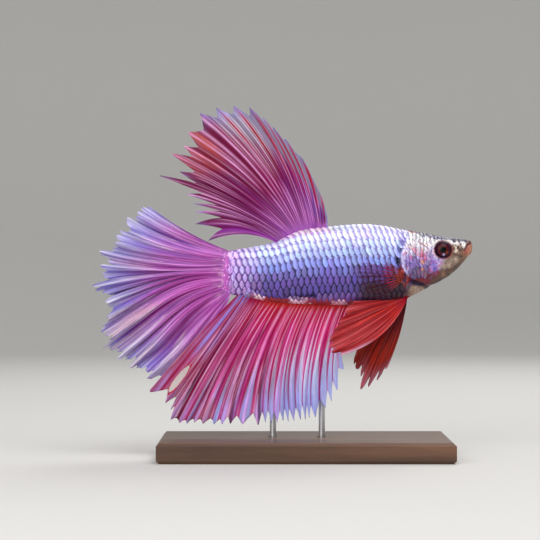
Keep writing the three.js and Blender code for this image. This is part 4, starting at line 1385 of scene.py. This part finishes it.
def walnut_material():
    """Walnut: planed, with oil. Growth rings about 2 mm apart run along the board as long arches, with
    fine dark pores drawn out along the grain."""
    material, tree = new_material("oiled_walnut")
    grain = millimetre_place(tree, (0.05, 0.9, 0.9))
    bands = {"Vector": grain, "Scale": 0.16, "Distortion": 9.0, "Detail": 3.0, "Detail Scale": 0.6}
    rings = add_node(tree, "ShaderNodeTexWave", bands, wave_type="BANDS", bands_direction="Y").outputs[1]
    pores = noise(tree, millimetre_place(tree, (0.25, 4.5, 4.5)), 1.0, 3.0)
    tone = maths(tree, "MULTIPLY_ADD", rings, 0.5, noise(tree, grain, 0.35))
    tone = remap(tree, maths(tree, "MULTIPLY_ADD", pores, 0.45, tone), 0.35, 1.3)
    oiled = {
        "Base Color": banded(tree, tone, (0.0, "#352015"), (0.45, "#543724"), (1.0, "#755039")),
        "Roughness": 0.42,
        "Normal": bumped(tree, pores, 0.2, 0.05),
        "Coat Weight": 0.15,
    }
    return end_material(material, surface(tree, oiled))


def steel_material():
    """Stainless steel: drawn rod, brushed round its axis. The brush marks are drawn 0.15 mm apart,
    coarser than real ones, so that they show."""
    material, tree = new_material("brushed_stainless_steel")
    marks = noise(tree, millimetre_place(tree, (0.6, 0.6, 7.0)), 1.0, 3.0)
    steel = {
        "Base Color": shaded(tree, to_linear("#C4C5C8"), marks, 0.85, 1.1),
        "Metallic": 1.0,
        "Roughness": remap(tree, marks, 0.0, 1.0, 0.24, 0.4),
        "Normal": bumped(tree, marks, 0.15, 0.03),
    }
    return end_material(material, surface(tree, steel))


def paper_material(tint):
    """Seamless background paper: matt, with a soft tooth of about 1 mm."""
    material, tree = new_material("studio_paper")
    tooth = noise(tree, millimetre_place(tree), 0.8)
    paper = {
        "Base Color": (*tint, 1),
        "Roughness": 0.9,
        "Normal": bumped(tree, tooth, 0.05, 0.1),
        "Specular IOR Level": 0.2,
    }
    return end_material(material, surface(tree, paper))


# ---- operators -----------------------------------------------------------------------------------
SKIN_GRID = {"u_segments": 168, "v_segments": 330}  # faces round the body and along it
BARE_RISE = 0.7  # the share of the coat's depth by which the bare head comes up


def bare_rise(points, depth):
    """How far the skin and what lies on it stand out: the face's features, and the unscaled head."""
    x, z = points[..., 0], points[..., 2]
    return relief(x, z) + depth * BARE_RISE * head_share(x, z)


class BETTA_OT_skin(bpy.types.Operator):
    """Makes the one skin that covers head, trunk and tail stalk."""

    bl_idname = "betta.skin"
    bl_label = "Skin"

    def execute(self, context):
        look = context.scene.betta_body
        bm = bmesh.new()
        bmesh.ops.create_uvsphere(bm, radius=1, **SKIN_GRID)
        mesh = finish_mesh(bm, "body_skin")
        ball = coordinates(mesh)
        height = np.clip(ball[:, 2], -1, 1)
        # One pole is the snout and the other the tail end, with the rings closest at the snout.
        way = np.arccos(height) / np.pi
        x = SNOUT_X - (SNOUT_X - TAIL_END_X) * way**2
        turn = np.arctan2(ball[:, 1], ball[:, 0])
        depth = look.coat_depth / MM
        points = body_point(x, turn, -depth)
        poles = np.abs(height) > 1 - 1e-9
        points[poles, 1] = 0
        points[poles, 2] = ((back_at(x) + belly_at(x)) / 2)[poles]
        place(mesh, points)
        face_outwards(mesh)
        out = normals(mesh)
        # The bare head comes up to full size, because only the scaled parts lie deeper.
        rise = bare_rise(points, depth)
        rise *= 0.1 + 0.9 * smooth(0.0, 0.5, SNOUT_X - points[:, 0])
        points = points + out * rise[:, None]
        points[:, 0] = np.minimum(points[:, 0], SNOUT_X - 0.02)
        place(mesh, points)
        face_outwards(mesh)
        store_colour(mesh, "paint", paint_skin(points[:, 0], points[:, 2], palette(look)))
        nodes = ("head", "lower_jaw", "gill_cover_left", "gill_cover_right", "trunk", "tail_stalk")
        add_piece(mesh, wet_skin_material(), nodes)
        return {"FINISHED"}


# The large scales lie in columns from FIRST_X back to LAST_X and in rows above and below the middle.
COLUMNS, HALF_ROWS = 42, 9
FIRST_X, LAST_X = 23.4, -15.2
ROW_SPACING = 1.82  # between rows where the half girth is MIDDLE_GIRTH, in millimetres
MIDDLE_GIRTH = 18.0
SMALLER_AHEAD = 0.3  # how much smaller the scales are at the head and on the nape
CROWN_Z = 43.6  # above this the scales run on over the nape to the crown
PLATE_GRID = (4, 6)  # squares along and across one scale
# A scale's outline, in lengths ahead of its root: its rear edge in the middle and at the sides; its front.
REAR_MIDDLE, REAR_SIDE, FRONT_EDGE = -0.58, 0.14, 0.95
# In millimetres: how deep its front is sunk, and how far its rear edge and its middle rise from there.
FRONT_SUNK, REAR_RISE, DOME = 0.1, 0.19, 0.1
FULL_LENGTH = 1.14  # the length of a scale that rises as far as that
PLATE_THICKNESS = 0.05
FEWEST_SCALES = 100
# The small scales, in millimetres: x of a patch's first column and of its end, and the step between.
HEAD_COLUMNS = np.arange(18.9, 27.9, 0.72)
BELLY_COLUMNS = np.arange(9.0, -13.0, -0.82)
TAIL_COLUMNS = np.arange(-14.2, -17.1, -0.42)
HEAD_AROUND, TAIL_AROUND = 48, 17  # scales round the whole head, and up one side of the tail's root
BELLY_ROWS, BELLY_ROW_STEP = 4, 0.62
SOCKET = 2.4  # no scale lies as near as this to the middle of the eye


def under_root(x, around):
    """Height of the body's surface there, and how far ahead of the gill cover's edge it lies."""
    point = coat_point(np.array([x]), np.array([around]), 0.0)[0]
    gap, _ = line_gap(np.array([x]), point[2:], GILL_EDGE)
    return point[2], gap[0]


def body_roots(pitch):
    """Roots of the large scales: x, place around, half height, length, lean. The rows run beside the
    middle line of the flank, so that outer rows end where the body gets lower."""
    rng = np.random.default_rng(5)
    roots = []
    for column in range(COLUMNS):
        for row in range(-HALF_ROWS, HALF_ROWS + 1):
            number = column + 0.5 * (row % 2)
            near_head = math.exp(-number / 6)
            x = FIRST_X - pitch * (number - 6 * SMALLER_AHEAD * (1 - near_head))
            if x < LAST_X:
                continue
            girth = float(half_girth(x))
            spacing = ROW_SPACING * (girth / MIDDLE_GIRTH) ** 0.32
            level = 0.5 + (row + 0.35) * spacing / girth
            if not 0.03 < level < 1.0:
                continue
            z, gap = under_root(x, level)
            covered = gap > -0.35 and z < CROWN_Z  # by the gill cover
            throat = z < 35.2 and x > 20.9 - 0.35 * (35 - z)
            belly = z < belly_at(x) + 1.3 and -11.5 < x < 14
            if covered or throat or belly or (x > 22.0 + rng.normal(0, 0.7) and z > CROWN_Z):
                continue
            nape, stalk = smooth(16.5, 21.5, x), fall(-15.5, -9.0, x)
            size = 1 - SMALLER_AHEAD * nape - 0.15 * stalk
            tall, long = 0.74 * spacing * size, pitch * (1 - SMALLER_AHEAD * near_head) * size
            lean = 0.36 * smooth(36.5, 40.5, z)
            for side in (level, 2 - level):  # right, left
                off = rng.normal(0, (0.03 + 0.09 * nape, 0.004 + 0.01 * nape, 0.03 + 0.12 * nape))
                roots.append((x + off[0], side + off[1], tall, long, lean + off[2]))
    return roots


def head_roots(rng):
    """Roots of the small scales on the nape, the gill cover and the cheek, as far as the eye."""
    roots = []
    for column, start in enumerate(HEAD_COLUMNS):
        for k in range(HEAD_AROUND):
            x = start + rng.normal(0, 0.13)
            around = 2 * (k + 0.5 * (column % 2)) / HEAD_AROUND + rng.normal(0, 0.009)
            z, gap = under_root(x, around)
            eye = math.hypot(x - EYE["x"], z - EYE["z"])
            front = 26.2 + 0.35 * (z - 41) if z > 40 else 25.0 + 0.25 * (z - 40)
            ahead = gap > 0.25 or (z > CROWN_Z and x > 20.6 + rng.normal(0, 0.6))
            if not ahead or z < 36.0 or x > front or eye < SOCKET:
                continue
            size = 0.75 + 0.35 * rng.random()
            roots.append((x, around, 0.66 * size, 0.78 * size, rng.normal(0.15, 0.3)))
    return roots


def belly_roots(rng):
    """Roots of a few rows of small scales along the belly, on both sides."""
    roots = []
    for x in BELLY_COLUMNS:
        for k in range(BELLY_ROWS):
            around = (0.2 + BELLY_ROW_STEP * k + rng.normal(0, 0.05)) / float(half_girth(x))
            shift = x + 0.41 * (k % 2) + rng.normal(0, 0.06)
            size = 0.9 + 0.2 * rng.random()
            for side in (around, 2 - around):
                roots.append((shift, side, 0.56 * size, 0.9 * size, rng.normal(0.1, 0.12)))
    return roots


def tail_roots(rng):
    """Roots of the last small scales, which get sparse and smaller over the root of the tail fin."""
    roots = []
    for column, x in enumerate(TAIL_COLUMNS):
        for k in range(TAIL_AROUND):
            if rng.random() < 0.13 * column:
                continue
            around = 0.04 + 0.92 * (k + 0.5 * (column % 2) + 0.3 * rng.random()) / TAIL_AROUND
            size = 1 - 0.07 * column
            for side in (around, 2 - around):
                roots.append((x + rng.normal(0, 0.12), side, 0.4 * size, 0.6 * size, rng.normal(0, 0.3)))
    return roots


def place_scales(mesh, roots, flat, depth):
    """Lays a copy of the plate at each root. Gives each vertex's place on its scale, in lengths ahead of
    the root and in half heights up from it."""
    x0, around0, tall, size, lean = (roots[:, k][:, None] for k in range(5))
    front = flat[None, :, 0] + 0.5  # 0 at the free rear edge, 1 at the hidden front
    up = 2 * flat[None, :, 1]
    top = flat[None, :, 2] > -0.5
    rear_edge = REAR_SIDE - (REAR_SIDE - REAR_MIDDLE) * (1 - np.abs(up) ** 2.4)
    ahead = rear_edge + (FRONT_EDGE - rear_edge) * front
    right = np.where(np.mod(around0, 2) <= 1, 1.0, -1.0)
    x = x0 + size * ahead - lean * up * tall
    around = around0 + right * up * tall / half_girth(x0)
    lift = REAR_RISE * (1 - front) - FRONT_SUNK + DOME * (1 - up**2) * bell(ahead + 0.08, 0.55)
    lift = lift * (0.45 + 0.55 * size / FULL_LENGTH) - np.where(top, 0.0, PLATE_THICKNESS)
    centre = coat_point(x, around, -depth)
    place(mesh, coat_point(x, around, -depth + lift + bare_rise(centre, depth)).reshape(-1, 3))
    return ahead, up


def colour_scales(mesh, roots, count, c):
    """Gives each scale one colour for its core and one for its seam; count is its number of vertices."""
    middle = coat_point(roots[:, 0], roots[:, 1], 0.0)
    x, z = middle[:, 0], middle[:, 2]
    core, seam = paint_scales(x, z, c)
    head = head_share(x, z)
    face = paint_head(x, z, c)
    core = mix(core, mix(face, c.white, 0.06), head)
    seam = mix(seam, mix(face, c.violet, 0.4) * 0.8, head)
    chance = np.random.default_rng(12)
    core = core * chance.normal(1, 0.09, (len(roots), 1)) * chance.normal(1, 0.05, (len(roots), 3))
    store_colour(mesh, "paint", np.repeat(core, count, 0))
    store_colour(mesh, "seam", np.repeat(seam, count, 0))
    share = 0.7 + 0.2 * fall(35.0, 41.5, z) + 0.1 * head
    store_number(mesh, "seam_share", np.repeat(share, count))


def map_scales(mesh, roots, ahead, up, front):
    """UV maps: each scale's own, and OFBake, where it is a patch at its root in the body's unwrap."""
    flat = 0 * roots[:, :1]
    plate = np.stack([(ahead + 0.06) / 0.5 + flat, up * 0.95 + flat], -1)
    store_map(mesh, "plate", plate.reshape(-1, 2))
    root_u = (SNOUT_X - roots[:, 0]) / (SNOUT_X - TAIL_END_X)
    root_v = np.mod(roots[:, 1], 2) / 2
    patch = 0.0015 * np.stack([2 * front - 1 + flat, up + flat], -1)
    spread = np.stack([root_u, root_v], -1)[:, None, :] * 0.99 + 0.005 + patch
    store_map(mesh, "OFBake", spread.reshape(-1, 2))


class BETTA_OT_scales(bpy.types.Operator):
    """Covers the skin with overlapping scales."""

    bl_idname = "betta.scales"
    bl_label = "Scales"

    def execute(self, context):
        look = context.scene.betta_body
        rng = np.random.default_rng(8)
        roots = body_roots(look.scale_pitch / MM) + head_roots(rng) + belly_roots(rng) + tail_roots(rng)
        roots = np.array(roots)
        if len(roots) < FEWEST_SCALES:
            raise RuntimeError("the scale pitch leaves too few scales to cover the body")
        template = sheet("plate", *PLATE_GRID)
        flat = coordinates(template)
        bm = bmesh.new()
        for _ in roots:
            bm.from_mesh(template)
        mesh = finish_mesh(bm, "body_scales")
        bpy.data.meshes.remove(template)
        ahead, up = place_scales(mesh, roots, flat, look.coat_depth / MM)
        face_outwards(mesh)
        colour_scales(mesh, roots, len(flat), palette(look))
        map_scales(mesh, roots, ahead, up, flat[None, :, 0] + 0.5)
        add_piece(mesh, scale_material(), ())
        return {"FINISHED"}


EYE_GRID = {"u_segments": 64, "v_segments": 40}
CORNEA_RISE = 0.05  # how much further the cornea stands out than the rest, in radii


class BETTA_OT_eyes(bpy.types.Operator):
    """Makes both eyes, with a cornea that bulges out of the socket."""

    bl_idname = "betta.eyes"
    bl_label = "Eyes"

    def execute(self, context):
        material = eye_material()
        for name, side, node in (("eyeball_left", 1, "eye_left"), ("eyeball_right", -1, "eye_right")):
            bm = bmesh.new()
            upright = Matrix.Rotation(math.radians(90), 4, "X")
            bmesh.ops.create_uvsphere(bm, radius=1, matrix=upright, **EYE_GRID)
            mesh = finish_mesh(bm, name)
            ball = coordinates(mesh)
            across = np.hypot(ball[:, 0], ball[:, 2])
            dome = 1 - CORNEA_RISE * smooth(0.1, 0.75, across)
            points = ball * np.array([EYE["radius"], EYE["bulge"], EYE["radius"]]) * dome[:, None]
            place(mesh, points + np.array([EYE["x"], side * EYE["side"], EYE["z"]]))
            face_outwards(mesh)
            add_piece(mesh, material, (node,))
        return {"FINISHED"}


def build_fins(context, *names):
    """Builds the named fins; this is what each of the three operators does."""
    for name in names:
        build_fin(name, context.scene.betta_fins)
    return {"FINISHED"}


class BETTA_OT_fans(bpy.types.Operator):
    """Makes the dorsal, anal and tail fins."""

    bl_idname = "betta.fans"
    bl_label = "Dorsal, anal and tail fins"

    def execute(self, context):
        return build_fins(context, "dorsal_fan", "anal_fan", "tail_fan")


class BETTA_OT_pelvic(bpy.types.Operator):
    """Makes the two long red pelvic fins."""

    bl_idname = "betta.pelvic"
    bl_label = "Pelvic fins"

    def execute(self, context):
        return build_fins(context, "pelvic_blade_right", "pelvic_blade_left")


class BETTA_OT_pectoral(bpy.types.Operator):
    """Makes the two small clear pectoral fins."""

    bl_idname = "betta.pectoral"
    bl_label = "Pectoral fins"

    def execute(self, context):
        return build_fins(context, "pectoral_fan_right", "pectoral_fan_left")


class BETTA_OT_stand(bpy.types.Operator):
    """Gives the stand's solids their wood and steel."""

    bl_idname = "betta.stand"
    bl_label = "Stand"

    def execute(self, context):
        steel, walnut = steel_material(), walnut_material()
        for node, material in (
            ("stand_base", walnut), ("stand_rod_front", steel), ("stand_rod_rear", steel)
        ):
            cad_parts[node].data.materials.clear()
            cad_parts[node].data.materials.append(material)
        return {"FINISHED"}


# The paper sweep, in millimetres: the floor's radius, the bend's radius, and a wall that leans back.
SWEEP_FLOOR, SWEEP_BEND, SWEEP_WALL, SWEEP_TURN = 560.0, 320.0, 900.0, math.radians(58)
SWEEP_DROP = 0.05  # under the foot of the stand
# The lights: place and size in metres, and the property that sets the power.
LIGHTS = (
    ("key_light", (0.10, -0.30, 0.50), 0.45, "key"),
    ("fill_light", (-0.27, -0.50, 0.27), 0.45, "fill"),
    ("rim_light", (0.12, 0.32, 0.36), 0.3, "rim"),
)
LIGHTS_AIM = Vector((-0.004, 0.0, 0.038))
CAMERA_PLACE = (-0.0070, -0.45, 0.0374)
CAMERA_LENS = 150.0  # mm, on a sensor 36 mm wide


def sweep_mesh():
    """A round floor whose edge bends up into a wall, turned from its profile."""
    profile = [(0.0, 0.0)]
    for turn in np.linspace(0, SWEEP_TURN, 15):
        profile.append((SWEEP_FLOOR + SWEEP_BEND * math.sin(turn), SWEEP_BEND * (1 - math.cos(turn))))
    end_r, end_z = profile[-1]
    profile.append((end_r + SWEEP_WALL * math.cos(SWEEP_TURN), end_z + SWEEP_WALL * math.sin(SWEEP_TURN)))
    bm = bmesh.new()
    line = [bm.verts.new((r * MM, 0, (z - SWEEP_DROP) * MM)) for r, z in profile]
    edges = [bm.edges.new(pair) for pair in zip(line, line[1:])]
    bmesh.ops.spin(
        bm, geom=line + edges, cent=(0, 0, 0), axis=(0, 0, 1), angle=math.tau, steps=96, use_merge=True
    )
    bmesh.ops.remove_doubles(bm, verts=bm.verts[:], dist=1e-6)
    return finish_mesh(bm, "studio_sweep")


def add_object(name, data, location=(0, 0, 0)):
    """Puts an object of the studio in the scene."""
    thing = bpy.data.objects.new(name, data)
    thing.location = location
    bpy.context.scene.collection.objects.link(thing)
    return thing


class BETTA_OT_studio(bpy.types.Operator):
    """Sets up the floor, the soft lights and the camera."""

    bl_idname = "betta.studio"
    bl_label = "Studio"

    def execute(self, context):
        look = context.scene.betta_stage
        sweep = add_object("studio_sweep", sweep_mesh())
        sweep.data.materials.append(paper_material(look.floor))
        sweep.data.shade_smooth()
        for name, location, size, setting in LIGHTS:
            data = bpy.data.lights.new(name, "AREA")
            data.energy, data.size = getattr(look, setting), size
            light = add_object(name, data, location)
            light.rotation_euler = (LIGHTS_AIM - Vector(location)).to_track_quat("-Z", "Y").to_euler()
            light.visible_camera = False
        world = bpy.data.worlds.new("studio_air")
        world.use_nodes = True
        air = world.node_tree.nodes["Background"].inputs
        air["Color"].default_value = (*to_linear("#F2F4F8"), 1)
        air["Strength"].default_value = 0.42
        context.scene.world = world
        context.scene.view_settings.view_transform = "Standard"
        lens = bpy.data.cameras.new("camera")
        lens.lens, lens.sensor_width = CAMERA_LENS, 36.0
        camera = add_object("camera", lens, CAMERA_PLACE)
        camera.rotation_euler = (math.radians(90), 0.0, 0.0)  # level, facing +Y
        bpy.context.scene.camera = camera
        return {"FINISHED"}


OPERATORS = (
    BETTA_OT_skin,
    BETTA_OT_scales,
    BETTA_OT_eyes,
    BETTA_OT_fans,
    BETTA_OT_pelvic,
    BETTA_OT_pectoral,
    BETTA_OT_stand,
    BETTA_OT_studio,
)


class BETTA_PT_panel(bpy.types.Panel):
    """Lists the betta's looks and the steps that build it."""

    bl_idname = "BETTA_PT_panel"
    bl_label = "Betta"
    bl_space_type = "VIEW_3D"
    bl_region_type = "UI"
    bl_category = "Betta"

    def draw(self, context):
        for group in (context.scene.betta_body, context.scene.betta_fins, context.scene.betta_stage):
            box = self.layout.box()
            for name in group.bl_rna.properties.keys():
                if name not in ("rna_type", "name"):
                    box.prop(group, name)
        for operator in OPERATORS:
            self.layout.operator(operator.bl_idname)


LOOKS = {"betta_body": BettaBodyLook, "betta_fins": BettaFinLook, "betta_stage": BettaStageLook}
CLASSES = (*LOOKS.values(), *OPERATORS, BETTA_PT_panel)


def register():
    for cls in CLASSES:
        bpy.utils.register_class(cls)
    for name, group in LOOKS.items():
        setattr(bpy.types.Scene, name, bpy.props.PointerProperty(type=group))


def unregister():
    for name in LOOKS:
        delattr(bpy.types.Scene, name)
    for cls in reversed(CLASSES):
        bpy.utils.unregister_class(cls)


def main():
    register()
    bpy.ops.betta.skin()
    bpy.ops.betta.scales()
    bpy.ops.betta.eyes()
    bpy.ops.betta.fans()
    bpy.ops.betta.pelvic()
    bpy.ops.betta.pectoral()
    bpy.ops.betta.stand()
    bpy.ops.betta.studio()


if __name__ == "__main__":
    main()
